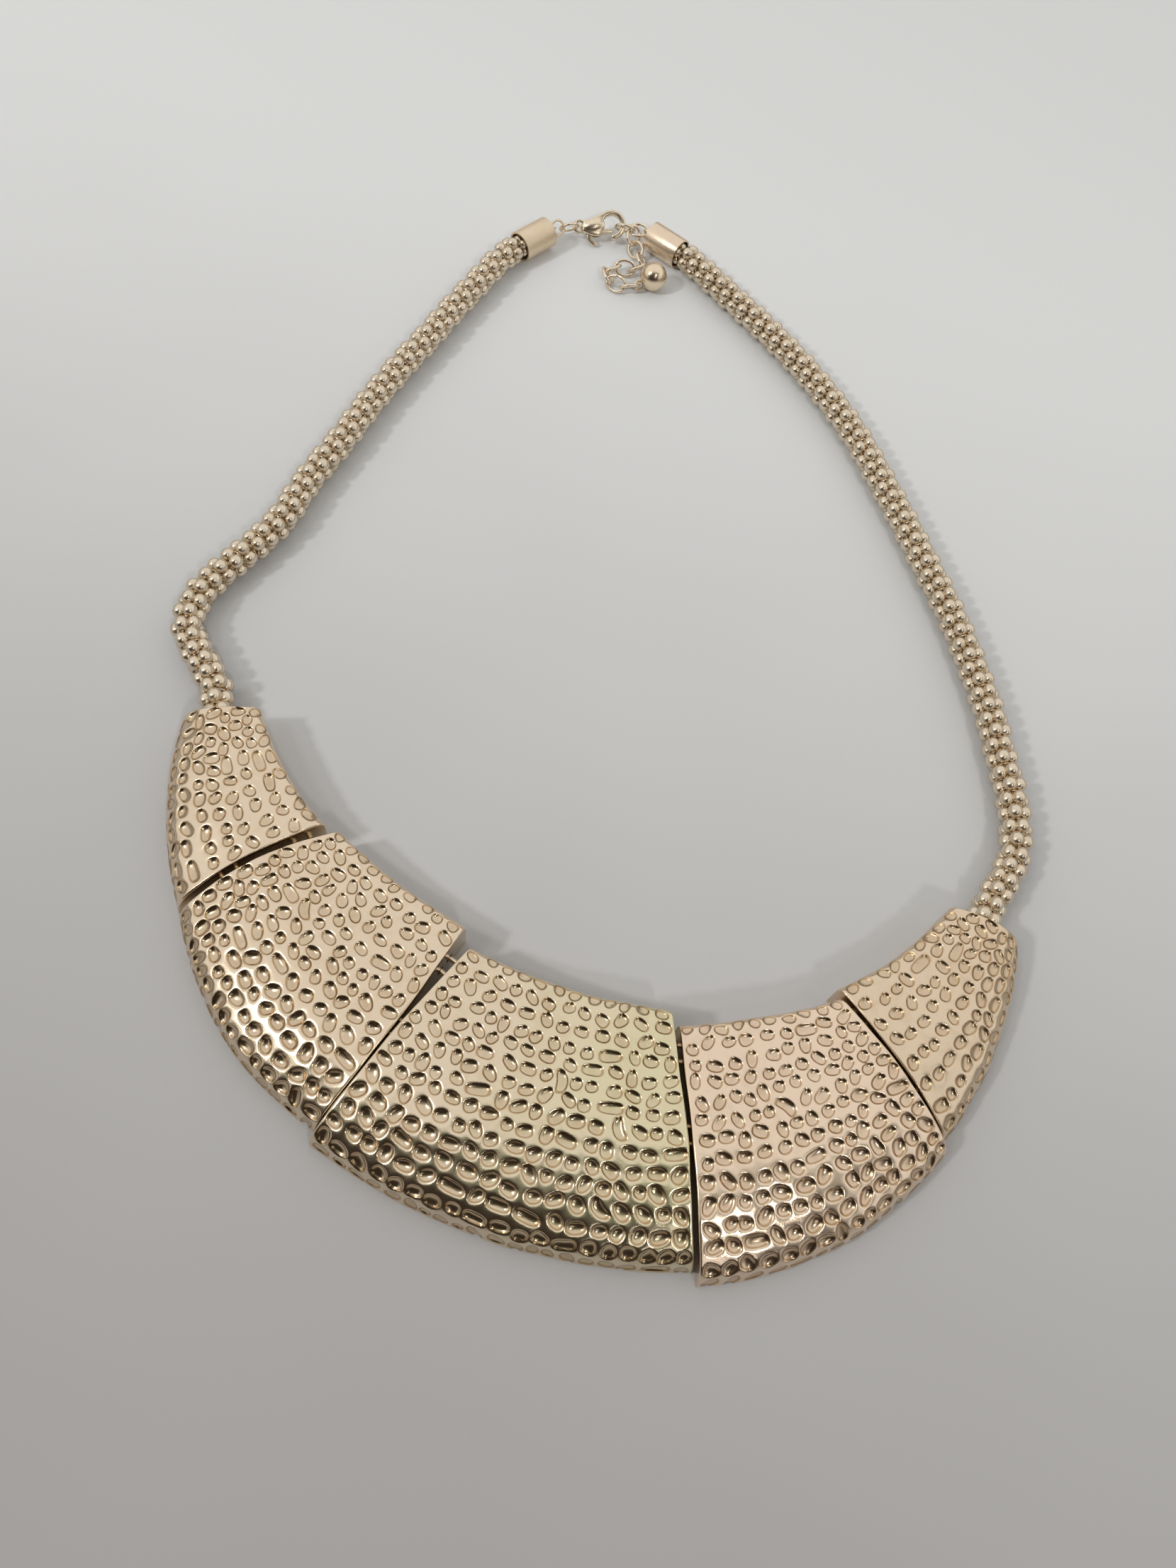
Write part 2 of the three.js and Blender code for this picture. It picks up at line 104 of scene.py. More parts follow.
def open_all(piece):
    """Opens edit mode with everything picked."""
    only(piece)
    bpy.ops.object.mode_set(mode="EDIT")
    bpy.ops.mesh.select_all(action="SELECT")


def open_rims(piece):
    """Opens edit mode with only those edges picked that have a face on one side."""
    only(piece)
    bpy.context.tool_settings.mesh_select_mode = (False, True, False)
    bpy.ops.object.mode_set(mode="EDIT")
    bpy.ops.mesh.select_all(action="DESELECT")
    bpy.ops.mesh.select_non_manifold(
        extend=False,
        use_wire=False,
        use_boundary=True,
        use_multi_face=False,
        use_non_contiguous=False,
        use_verts=False,
    )


def close_up(piece, merge=0.0005):
    """Merges doubles, turns the faces outwards and leaves edit mode."""
    open_all(piece)
    bpy.ops.mesh.remove_doubles(threshold=merge * MM)
    bpy.ops.mesh.normals_make_consistent(inside=False)
    bpy.ops.object.mode_set(mode="OBJECT")


def points_of(piece):
    """A piece's points in millimetres, one row for each."""
    numbers = np.empty(len(piece.data.vertices) * 3)
    piece.data.vertices.foreach_get("co", numbers)
    return numbers.reshape(-1, 3) / MM


def move_points(piece, points):
    """Moves a piece's points to these places, in millimetres."""
    piece.data.vertices.foreach_set("co", (np.asarray(points) * MM).ravel())
    piece.data.update()


def apply_modifier(piece, kind, **settings):
    """Adds one modifier and applies it."""
    only(piece)
    modifier = piece.modifiers.new(kind.lower(), kind)
    for key, value in settings.items():
        setattr(modifier, key, value)
    bpy.ops.object.modifier_apply(modifier=modifier.name)


def smooth(piece, angle=35):
    """Shades a piece smooth wherever its faces meet at less than this angle."""
    only(piece)
    bpy.ops.object.shade_smooth_by_angle(angle=math.radians(angle))


def place(piece, matrix):
    """Moves a piece in millimetres, inside its mesh, so that the object stays at the origin."""
    only(piece)
    bpy.ops.object.transform_apply(location=True, rotation=True, scale=True)
    piece.data.transform(Matrix.Scale(MM, 4) @ matrix @ Matrix.Scale(1 / MM, 4))


def copy_of(piece, name):
    """A copy with its own mesh."""
    twin = piece.copy()
    twin.data = piece.data.copy()
    twin.name = name
    twin.data.name = name
    bpy.context.scene.collection.objects.link(twin)
    return twin


def joined(pieces, name):
    """Joins pieces into the first one."""
    only(pieces[0])
    for piece in pieces:
        piece.select_set(True)
    bpy.ops.object.join()
    return named(name)


def rod(name, radius, length, sides, turn=(0, 0, 0), middle=(0, 0, 0)):
    """A plain round rod to work on, along Z unless it is turned, with its place in its mesh."""
    bpy.ops.mesh.primitive_cylinder_add(
        vertices=sides,
        radius=radius * MM,
        depth=length * MM,
        rotation=turn,
        location=[k * MM for k in middle],
    )
    piece = named(name)
    place(piece, Matrix())
    return piece


def sink_faces(piece, test, margin, push):
    """Insets the faces that pass the test, and pushes what is inside the margin along Z."""
    pick_faces(piece, test)
    bpy.ops.mesh.inset(thickness=margin * MM)
    bpy.ops.mesh.extrude_region_move(TRANSFORM_OT_translate={"value": (0, 0, push * MM)})
    bpy.ops.object.mode_set(mode="OBJECT")


def round_edges(piece, width, segments, angle=30):
    """Rounds the edges where faces meet at more than this angle."""
    limit = math.radians(angle)
    apply_modifier(
        piece, "BEVEL", width=width * MM, segments=segments, limit_method="ANGLE", angle_limit=limit
    )


def cut(piece, cutter, solver="EXACT"):
    """Cuts one piece's shape out of another, and throws the cutter away."""
    apply_modifier(piece, "BOOLEAN", object=cutter, operation="DIFFERENCE", solver=solver)
    bpy.data.objects.remove(cutter)


def finished(piece, material, slot, *nodes, body="necklace"):
    """Gives a piece its finish, hides the parts that it stands for, and attaches it to what it moves
    with.
    """
    piece.data.materials.clear()
    piece.data.materials.append(material)
    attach(piece, body)
    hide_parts(*nodes)
    return piece


def ring_place(x, y, z, heading, lean=0, pitch=0):
    """Where a ring lies: its long axis along the heading, dipping by pitch, leaning over."""
    turn = Matrix.Rotation(math.radians(heading), 4, "Z")
    dip = Matrix.Rotation(math.radians(pitch), 4, "Y")
    tilt = Matrix.Rotation(math.radians(lean), 4, "X")
    return Matrix.Translation((x, y, z)) @ turn @ dip @ tilt


ALONG_X = (0, math.pi / 2, 0)


def direction(heading):
    """The level unit vector that points along a heading, in degrees from the X axis."""
    return Vector((math.cos(math.radians(heading)), math.sin(math.radians(heading)), 0))


# ---- Shader nodes ---------------------------------------------------------------------


class Signal:
    """What comes out of a socket. On numbers, Python's operators add the Math nodes."""

    def __init__(self, tree, socket):
        self.tree = tree
        self.socket = socket

    def feed(self, slot):
        """Links this signal to a socket."""
        self.tree.links.new(self.socket, slot)

    def math(self, operation, first, second):
        """Adds one Math node."""
        node = self.tree.nodes.new("ShaderNodeMath")
        node.operation = operation
        for slot, value in zip(node.inputs, (first, second)):
            fill(slot, value)
        return Signal(self.tree, node.outputs[0])

    def __add__(self, other):
        return self.math("ADD", self, other)

    def __sub__(self, other):
        return self.math("SUBTRACT", self, other)

    def __rsub__(self, other):
        return self.math("SUBTRACT", other, self)

    def __mul__(self, other):
        return self.math("MULTIPLY", self, other)

    def at_least(self, other):
        return self.math("MAXIMUM", self, other)

    def at_most(self, other):
        return self.math("MINIMUM", self, other)

    def within_one(self):
        """Held between 0 and 1."""
        return self.at_least(0.0).at_most(1.0)

    def size(self):
        """Without its sign."""
        return self.at_least(self * -1.0)

    __radd__ = __add__
    __rmul__ = __mul__


def fill(slot, value):
    """Links a signal to a socket, or sets the socket to a plain value."""
    if isinstance(value, Signal):
        value.feed(slot)
    else:
        slot.default_value = value


class Nodes:
    """A node tree that is built with one method."""

    def __init__(self, tree):
        self.tree = tree
        tree.nodes.clear()

    def add(self, kind, output=0, settings=None, numbered=None, **named_sockets):
        """Adds a node. Sockets go by name, with _ for a space, or by number where names repeat."""
        node = self.tree.nodes.new(kind)
        for key, value in (settings or {}).items():
            setattr(node, key, value)
        for number, value in (numbered or {}).items():
            fill(node.inputs[number], value)
        for key, value in named_sockets.items():
            fill(node.inputs[key.replace("_", " ")], value)
        return Signal(self.tree, node.outputs[output]) if node.outputs else None

    def axes(self, coords, count):
        """The first parts of a vector, each a signal."""
        return [self.add("ShaderNodeSeparateXYZ", k, Vector=coords) for k in range(count)]

    def mix(self, share, first, second):
        """Mixes two colours, each a signal or three numbers."""
        first, second = (c if isinstance(c, Signal) else (*c, 1) for c in (first, second))
        return self.add("ShaderNodeMix", 2, {"data_type": "RGBA"}, {0: share, 6: first, 7: second})

    def ramp(self, value, low, high):
        """Rises smoothly from 0 at low to 1 at high."""
        settings = {"interpolation_type": "SMOOTHSTEP"}
        return self.add("ShaderNodeMapRange", 0, settings, Value=value, From_Min=low, From_Max=high)

    def noise(self, coords, size_mm, detail=2.0, roughness=0.5, stretch=None):
        """Noise between 0 and 1 with features about size_mm across."""
        if stretch:
            coords = self.add("ShaderNodeMapping", Vector=coords, Scale=stretch)
        scale = 1 / (size_mm * MM)
        return self.add(
            "ShaderNodeTexNoise", Vector=coords, Scale=scale, Detail=detail, Roughness=roughness
        )


# Sizes of the marks in the plating: finger smudges, blotches, brush marks and the finest grain.
# Brush marks run along X, and are four times as long as they are wide.
SMUDGE_SIZE, BLOTCH_SIZE, STREAK_SIZE, GRAIN_SIZE = 6, 1.6, 0.9, 0.22
BRUSHED = (0.25, 1.0, 1.0)

# How much of the deep colour a full dent brings in as painted shade, and how much a blotch and a smudge
# bring in as dirt.
DENT_SHADE, BLOTCH_DIRT, SMUDGE_DIRT = 0.35, 0.5, 0.4

# Each plate's mesh carries two values at every point: "dent", how far the point is pressed in, as a
# share of FULL_DENT, and "edge", which is 0 in a dent's middle, 1 at its edge and more outside.
# A fine line of painted shade follows each dent just inside its edge.
FULL_DENT = 0.5
EDGE_SHADE_PLACE = 0.88
EDGE_SHADE_HALF_WIDTH = 0.19
EDGE_SHADE_STRENGTH = 4.5

# The centre plate's tint comes in from left to right, and in loose patches.
TINT_PATCH = 26
TINT_PATCH_STRENGTH = 2.2
TINT_RUN = 75


def plated(name, colour, deep, roughness, rub=0.12, grain=0.006, edge_shaded=False, tint=None):
    """Gold plating: colour where it is open, deep where it is dirty and as painted shade in the dents
    and along their edges, smudged all over.

    Rub is how much its roughness varies, and grain is the height of its finest marks.
    """
    material = bpy.data.materials.new(name)
    material.use_nodes = True
    nodes = Nodes(material.node_tree)
    coords = nodes.add("ShaderNodeTexCoord", "Object")
    smudge = nodes.noise(coords, SMUDGE_SIZE, detail=3)
    blotch = nodes.noise(coords, BLOTCH_SIZE, detail=4, roughness=0.6)
    streak = nodes.noise(coords, STREAK_SIZE, stretch=BRUSHED)
    fine = nodes.noise(coords, GRAIN_SIZE)
    sunk = nodes.add("ShaderNodeAttribute", "Fac", {"attribute_name": "dent"})
    # Painted shade darkens each dent by how far it is pressed in, and blotches and smudges add dirt.
    dirt_and_shade = sunk * DENT_SHADE + (blotch - 0.5) * BLOTCH_DIRT + (smudge - 0.5) * SMUDGE_DIRT
    dirt_and_shade = dirt_and_shade.within_one()
    # Painted shade: a dark line just inside each dent's edge.
    if edge_shaded:
        off_edge_shade = nodes.add("ShaderNodeAttribute", "Fac", {"attribute_name": "edge"}) - EDGE_SHADE_PLACE
        line = (EDGE_SHADE_HALF_WIDTH - off_edge_shade.size()).at_least(0.0) * EDGE_SHADE_STRENGTH
        dirt_and_shade = (dirt_and_shade + line).at_most(1.0)
    if tint:
        patch = (nodes.noise(coords, TINT_PATCH, detail=1) - 0.5) * TINT_PATCH_STRENGTH
        side = nodes.axes(coords, 1)[0] * (1 / (TINT_RUN * MM))
        colour = nodes.mix((patch + side + 0.5).within_one(), colour, tint)
    base = nodes.mix(dirt_and_shade, colour, deep)
    rough = roughness + (smudge - 0.5) * rub + (blotch - 0.5) * rub + (streak - 0.5) * rub * 0.6
    height = fine + blotch * 0.8 + streak * 0.5
    bump = nodes.add("ShaderNodeBump", Strength=1.0, Distance=grain * MM, Height=height)
    shader = nodes.add(
        "ShaderNodeBsdfPrincipled",
        Base_Color=base,
        Metallic=1.0,
        Roughness=rough.at_least(0.05),
        Normal=bump,
    )
    nodes.add("ShaderNodeOutputMaterial", Surface=shader)
    return material


# Each plate's colour, roughness and tint. The centre plate turns greener towards its right.
PLATE_DEEP = (0.42, 0.27, 0.13)
GREEN_GOLD = (0.75, 0.68, 0.46)
PLATE_FINISHES = {
    "left_end": ((0.79, 0.66, 0.50), 0.20, None),
    "left": ((0.79, 0.66, 0.50), 0.17, None),
    "centre": ((0.78, 0.66, 0.50), 0.17, GREEN_GOLD),
    "right": ((0.84, 0.68, 0.53), 0.20, None),
    "right_end": ((0.76, 0.62, 0.46), 0.22, None),
}
plate_golds = {
    name: plated("plate_gold_" + name, colour, PLATE_DEEP, roughness, edge_shaded=True, tint=tint)
    for name, (colour, roughness, tint) in PLATE_FINISHES.items()
}
bead_gold = plated("bead_gold", (0.77, 0.665, 0.525), (0.39, 0.28, 0.17), 0.27, grain=0.004)
# The core's dark colour is painted shade: it darkens the chains' hollow middles between the beads.
painted_shade_core = plated("painted_shade_core", (0.42, 0.26, 0.13), (0.20, 0.11, 0.06), 0.42)
cap_gold_satin = plated("cap_gold_satin", (0.84, 0.70, 0.52), (0.60, 0.46, 0.30), 0.48)
cap_gold_bright = plated("cap_gold_bright", (0.84, 0.69, 0.53), (0.60, 0.44, 0.30), 0.28)
ball_gold = plated("ball_gold", (0.85, 0.71, 0.53), (0.60, 0.44, 0.28), 0.22, rub=0.06)
wire_gold = plated("wire_gold", (0.88, 0.76, 0.60), (0.56, 0.40, 0.24), 0.24)
clasp_gold = plated("clasp_gold", (0.87, 0.75, 0.58), (0.56, 0.40, 0.24), 0.26)

# ---- Plates ---------------------------------------------------------------------------

# The same plan and heights as the solids. Inner is the edge at the neck. Each plate's side walls go
# straight down, its top rises from the rounded inner edge to the crown, and then it falls to the rim.
WALL = 1.2
RIM_HEIGHT = 0.8
RIM_ROUND = 3.0
RIM_REACH = 2.8
INNER_ROUND = 1.3
SIDE_ROUND = 0.3
SHOULDER = 0.35
FALL_POWER = 2.4
INNER_DIP = 0.5

# The corners are given at the plate's start, on the left, and at its end. The bows are how far the
# inner, outer, start and end edges bulge. Long dents are this share of all.
PLATES = [
    dict(name="left_end", crown=8.3, seed=3, long_dents=0.035, bows=(1.4, 2.5, 0.0, -0.5),
         inner=((-61.1, -20.6), (-48.9, -43.1)), outer=((-75.8, -20.7), (-72.9, -56.2))),
    dict(name="left", crown=8.5, seed=5, long_dents=0.035, bows=(0.8, 4.1, -1.4, 0.8),
         inner=((-46.2, -44.6), (-25.0, -61.9)), outer=((-72.6, -57.6), (-48.6, -93.1))),
    dict(name="centre", crown=8.9, seed=8, long_dents=0.1, bows=(1.6, 4.9, -0.3, 0.3),
         inner=((-24.2, -65.4), (8.3, -76.6)), outer=((-49.4, -94.9), (9.3, -115.9))),
    dict(name="right", crown=8.7, seed=13, long_dents=0.035, bows=(0.8, 4.4, 0.2, 0.5),
         inner=((9.3, -79.0), (36.9, -75.2)), outer=((10.1, -117.9), (52.8, -100.0))),
    dict(name="right_end", crown=8.3, seed=21, long_dents=0.035, bows=(1.3, 2.7, 0.3, 0.3),
         inner=((36.9, -73.5), (59.2, -59.3)), outer=((52.6, -98.3), (72.5, -65.4))),
]


def mix(first, last, share):
    return first + (last - first) * share


def bowed(first, last, share, bow):
    """Points between two ends, pushed sideways by an arc of the given height."""
    run_x, run_y = last[0] - first[0], last[1] - first[1]
    push = bow * 4 * share * (1 - share) / np.hypot(run_x, run_y)
    return first[0] + run_x * share + run_y * push, first[1] + run_y * share - run_x * push


def plate_plan(plate, across, deep):
    """Where a place on the plate lies in plan: across from its start to its end, deep from the neck."""
    inner_bow, outer_bow, start_bow, end_bow = plate["bows"]
    start = bowed(plate["inner"][0], plate["outer"][0], deep, -start_bow)
    end = bowed(plate["inner"][1], plate["outer"][1], deep, -end_bow)
    return bowed(start, end, across, mix(inner_bow, outer_bow, deep))


def span(plate, first, last):
    """Distance in plan between two (across, deep) places."""
    ax, ay = plate_plan(plate, *first)
    bx, by = plate_plan(plate, *last)
    return np.hypot(bx - ax, by - ay)


def quarter_drop(distance, reach, height):
    """How far a rounded edge has dropped at this distance in from it."""
    inside = np.clip(1 - distance / reach, 0, 1)
    return height * (1 - np.sqrt(1 - inside * inside))


def plate_height(plate, across, deep):
    """How high the plate's smooth top is at a place."""
    depth = span(plate, (across, 0.0), (across, 1.0))
    to_shoulder = np.clip(deep / SHOULDER, 0, 1)
    past_shoulder = np.clip((deep - SHOULDER) / (1 - SHOULDER), 0, 1)
    return (
        plate["crown"] - INNER_DIP + INNER_DIP * to_shoulder * (2 - to_shoulder)
        - (plate["crown"] - RIM_HEIGHT - RIM_ROUND) * past_shoulder**FALL_POWER
        - quarter_drop((1 - deep) * depth, RIM_REACH, RIM_ROUND)
        - quarter_drop(deep * depth, INNER_ROUND, INNER_ROUND)
    )


def three_bands(first, middle, last):
    """How much of the first, middle and last band lies before each stop."""
    before = np.concatenate([first, np.ones(middle + len(last) - 1)])
    even = np.linspace(0, 1, middle + 1)[1:]
    within = np.concatenate([np.zeros(len(first)), even, np.ones(len(last) - 1)])
    after = np.concatenate([np.zeros(len(first) + middle), last[1:]])
    return before, within, after


class Sheet:
    """A grid of points over a plate's top, about one step apart, with its directions.

    The rounded edges get rows and columns of their own, closer together.
    """

    def __init__(self, plate, step, inset=0.0, sink=0.0):
        width = span(plate, (0.0, 1.0), (1.0, 1.0))
        depth = span(plate, (0.5, 0.0), (0.5, 1.0))
        quarter = math.pi / 2
        leaving = 1 - np.sin(np.linspace(quarter, 0, round(quarter * INNER_ROUND / step) + 2))
        arriving = np.sin(np.linspace(0, quarter, round(quarter * RIM_ROUND / step) + 2))
        side = 1 - np.sin(np.linspace(quarter, 0, 2 if inset else 4))
        between_rounds = depth - INNER_ROUND - RIM_REACH
        rows = three_bands(leaving, round(between_rounds / step), arriving)
        columns = three_bands(side, round(width / step), 1 - side[::-1])
        share = columns[1][None, :]
        deep_full = span(plate, (share, 0.0), (share, 1.0))
        deep = self.stops(rows, INNER_ROUND / deep_full, 1 - RIM_REACH / deep_full, axis=0)
        deep = mix(inset / deep_full, 1 - inset / deep_full, deep)
        wide_full = span(plate, (0.0, deep), (1.0, deep))
        across = self.stops(columns, SIDE_ROUND / wide_full, 1 - SIDE_ROUND / wide_full, axis=1)
        across = mix(inset / wide_full, 1 - inset / wide_full, across)
        from_side = np.minimum(across, 1 - across) * wide_full
        height = plate_height(plate, across, deep) - sink
        height = height - quarter_drop(from_side, SIDE_ROUND, SIDE_ROUND)
        self.points = np.stack([*plate_plan(plate, across, deep), height], axis=-1)
        self.along = self.unit(np.gradient(self.points, axis=1))
        self.normal = self.unit(np.cross(np.gradient(self.points, axis=0), self.along))
        self.down = np.cross(self.along, self.normal)
        self.run = self.length(axis=1)
        self.arc = self.length(axis=0)

    def stops(self, bands, first_end, last_start, axis):
        """Shares of the way over the plate, with the bands stretched to the plate's size."""
        before, within, after = (band[:, None] if axis == 0 else band[None, :] for band in bands)
        return first_end * before + (last_start - first_end) * within + (1 - last_start) * after

    def unit(self, vectors):
        return vectors / np.linalg.norm(vectors, axis=-1, keepdims=True)

    def length(self, axis):
        """Distance over the surface from the first row or column."""
        steps = np.linalg.norm(np.diff(self.points, axis=axis), axis=-1)
        pad = [(0, 0), (0, 0)]
        pad[axis] = (1, 0)
        return np.cumsum(np.pad(steps, pad), axis=axis)

    def nearest(self, x, s):
        """The grid place that lies x along its row and s down from the neck."""
        middle = self.points.shape[1] // 2
        row = int(np.abs(self.arc[:, middle] - s).argmin())
        return row, int(np.abs(self.run[row] - x).argmin())

    def as_mesh(self, name, points):
        """A grid primitive whose points are moved to these, and each point's row and column."""
        rows, columns = points.shape[0] - 1, points.shape[1] - 1
        bpy.ops.mesh.primitive_grid_add(x_subdivisions=columns, y_subdivisions=rows, size=MM)
        piece = named(name)
        flat = points_of(piece)
        i = np.rint((flat[:, 0] + 0.5) * columns).astype(int)
        j = np.rint((flat[:, 1] + 0.5) * rows).astype(int)
        move_points(piece, points[j, i])
        return piece, (j, i)


# Dents lie in loose rows along each plate: small and apart at the neck, big and close
# towards the rim. The first and last row lie this far from the two edges.
FIRST_ROW = 1.75
LAST_ROW = 1.3
SIDE_MARGIN = 0.75
ROW_STEP = (2.65, 2.85)

# Sizes of one dent, as neck and rim values.
DENT_LONG = (2.7, 3.0)
DENT_SHORT = (1.95, 2.2)
DENT_GAP = (0.5, 0.34)
DENT_DEPTH = (0.43, 0.53)
DENT_BOWL = (2.3, 2.1)
DENT_STRAY = (0.5, 0.35)
DENT_TURN = 24

# All dents are small up to this share of the way to the rim. Further on, one draw decides each dent's
# kind: long up to the plate's own share, and then across, slanting, bent or round up to these values.
# The rest are plain. Kinds have ranges for their length and width, and turns in degrees.
NECK_UP_TO = 0.06
ACROSS_UP_TO = 0.28
SLANTING_UP_TO = 0.42
ROUND_UP_TO = 0.56
NECK_SIZES = ((2.0, 2.6), (1.6, 1.9))
LONG_SIZES = ((3.6, 4.8), (1.85, 2.1))
ROUND_SIZES = ((2.0, 2.3), (1.85, 2.1))
BENT_SIZE, BENT_BY, BENT_ROWS = (3.9, 1.9), 0.15, (0.35, 0.8)
ACROSS_TURN, SLANTING_TURN, BENT_TURN, LONG_TURN = (50, 95), (25, 55), (30, 90), 10
SQUARE_PLAIN, SQUARE_LONG, SQUARE_BENT = (2.0, 2.5), 2.8, 3.0
TAPER = 0.2


def crowding(t):
    """0 in the rows by the neck, and 1 in those towards the rim, t being the share of the way."""
    return min(max((t - 0.3) / 0.4, 0), 1)


def drawn(rng, ranges):
    """One number from each range."""
    return [rng.uniform(*ends) for ends in ranges]


def dent_row(rng, t, width, long_share):
    """The dents of one row, at share t of the way from the neck to the rim."""
    close = crowding(t)
    gap = mix(*DENT_GAP, close)
    row, used = [], 0.0
    while True:
        long = mix(*DENT_LONG, close) * rng.uniform(0.84, 1.14)
        short = mix(*DENT_SHORT, close) * rng.uniform(0.9, 1.1)
        turn = rng.gauss(0, DENT_TURN)
        bend = 0.0
        square = rng.uniform(*SQUARE_PLAIN)
        luck = rng.random()
        if t < NECK_UP_TO:
            long, short = drawn(rng, NECK_SIZES)
        elif luck < long_share:
            long, short = drawn(rng, LONG_SIZES)
            turn = rng.gauss(0, LONG_TURN)
            square = SQUARE_LONG
        elif luck < ACROSS_UP_TO:
            turn = rng.choice((-1, 1)) * rng.uniform(*ACROSS_TURN)
        elif luck < SLANTING_UP_TO:
            turn = rng.choice((-1, 1)) * rng.uniform(*SLANTING_TURN)
        elif luck < SLANTING_UP_TO + long_share / 4 and BENT_ROWS[0] < t < BENT_ROWS[1]:
            long, short = BENT_SIZE
            turn = rng.uniform(*BENT_TURN)
            bend = rng.choice((-1, 1)) * BENT_BY
            square = SQUARE_BENT
        elif luck < ROUND_UP_TO:
            long, short = drawn(rng, ROUND_SIZES)
        lean = math.radians(turn)
        wide = math.hypot(long * math.cos(lean), short * math.sin(lean))
        if used + wide > width:
            break
        dent = dict(x=used + wide / 2, long=long / 2, short=short / 2)
        dent.update(turn=lean, bend=bend, square=square)
        dent["depth"] = mix(*DENT_DEPTH, close) * rng.uniform(0.85, 1.1)
        dent["taper"] = rng.uniform(-TAPER, TAPER)
        dent["bowl"] = mix(*DENT_BOWL, close)
        row.append(dent)
        used += wide + gap
    spare = width - used + gap
    stray = mix(*DENT_STRAY, close)
    for k, dent in enumerate(row):
        dent["x"] += spare * (k + 0.5) / len(row) + rng.uniform(-stray, stray)
        dent["off"] = rng.uniform(-stray, stray)
    return row


def lay_dents(sheet, seed, long_share):
    """All the dents of a plate: x along the row and s down from the neck, measured over the surface."""
    rng = random.Random(seed)
    total = sheet.arc[-1, sheet.arc.shape[1] // 2]
    rows = []
    s = FIRST_ROW
    while s < total - LAST_ROW:
        rows.append(s)
        s += mix(*ROW_STEP, crowding(s / total))
    stretch = (total - LAST_ROW - rows[0]) / (rows[-1] - rows[0])
    dents = []
    for s in rows:
        s = rows[0] + (s - rows[0]) * stretch
        j, _ = sheet.nearest(0, s)
        width = sheet.run[j, -1] - 2 * SIDE_MARGIN
        for dent in dent_row(rng, s / total, width, long_share):
            dent["s"] = s + dent["off"]
            dent["x"] += SIDE_MARGIN
            dents.append(dent)
    spread_dents(sheet, dents, total)
    return dents


def oval_reach(long, short, turn, dx, dy):
    """How far an oval reaches from its middle along a direction."""
    a = dx * np.cos(turn) + dy * np.sin(turn)
    b = dy * np.cos(turn) - dx * np.sin(turn)
    return 1 / np.hypot(a / long, b / short)


# Dents that run into each other are pushed apart, a little in each round, until this ridge is left.
PUSH_ROUNDS = 30
PUSH_SHARE = 0.6
PUSH_LIMIT = 0.6
RIDGE = 0.2
NECK_RIDGE = 0.7
SIDE_RIDGE = 0.4
RIM_OVERRUN = 0.2
FAR_AWAY = 99


def spread_dents(sheet, dents, total):
    """Pushes apart dents that run into each other, and keeps them all inside the plate's edges."""
    keys = ("x", "s", "long", "short", "turn")
    x, s, long, short, turn = (np.array([dent[key] for dent in dents]) for key in keys)
    sideways = oval_reach(long, short, turn, 1.0, 0.0)
    downward = oval_reach(long, short, turn, 0.0, 1.0)
    highest = np.minimum(downward + NECK_RIDGE, FIRST_ROW)
    for _ in range(PUSH_ROUNDS):
        grid = [sheet.nearest(a, b) for a, b in zip(x, s)]
        centre = np.array([sheet.points[g] for g in grid])
        along = np.array([sheet.along[g] for g in grid])
        down = np.array([sheet.down[g] for g in grid])
        way = centre[None] - centre[:, None]
        far = np.linalg.norm(way, axis=-1) + np.eye(len(x)) * FAR_AWAY
        unit = way / far[..., None]
        dx = np.einsum("abk,ak->ab", unit, along)
        dy = np.einsum("abk,ak->ab", unit, down)
        edge = oval_reach(long[:, None], short[:, None], turn[:, None], dx, dy + 1e-9)
        overlap = np.clip(edge + edge.T + RIDGE - far, 0, PUSH_LIMIT) * 0.5
        x -= (overlap * dx).sum(1) * PUSH_SHARE
        s -= (overlap * dy).sum(1) * PUSH_SHARE
        s = np.clip(s, highest, total - LAST_ROW + RIM_OVERRUN)
        wide = np.array([sheet.run[j, -1] for j, _ in grid])
        x = np.clip(x, sideways + SIDE_RIDGE, wide - sideways - SIDE_RIDGE)
    for k, dent in enumerate(dents):
        dent["x"], dent["s"] = x[k], s[k]


# A dent is a bowl with a steeper wall round its edge. The wall takes WALL_SHARE of the depth and is
# WALL_BAND of the half width across. A slight skirt outside the edge is drawn down with it.
WALL_SHARE = 0.32
WALL_BAND = 0.36
WALL_START = 1.05
SKIRT_REACH = 0.6
SKIRT_DEPTH = 0.05
BEND_MIDDLE = 0.8

# Each dent only touches the points this near to it, down the plate and along it.
TOUCH_DOWN, TOUCH_ALONG = 4, 7


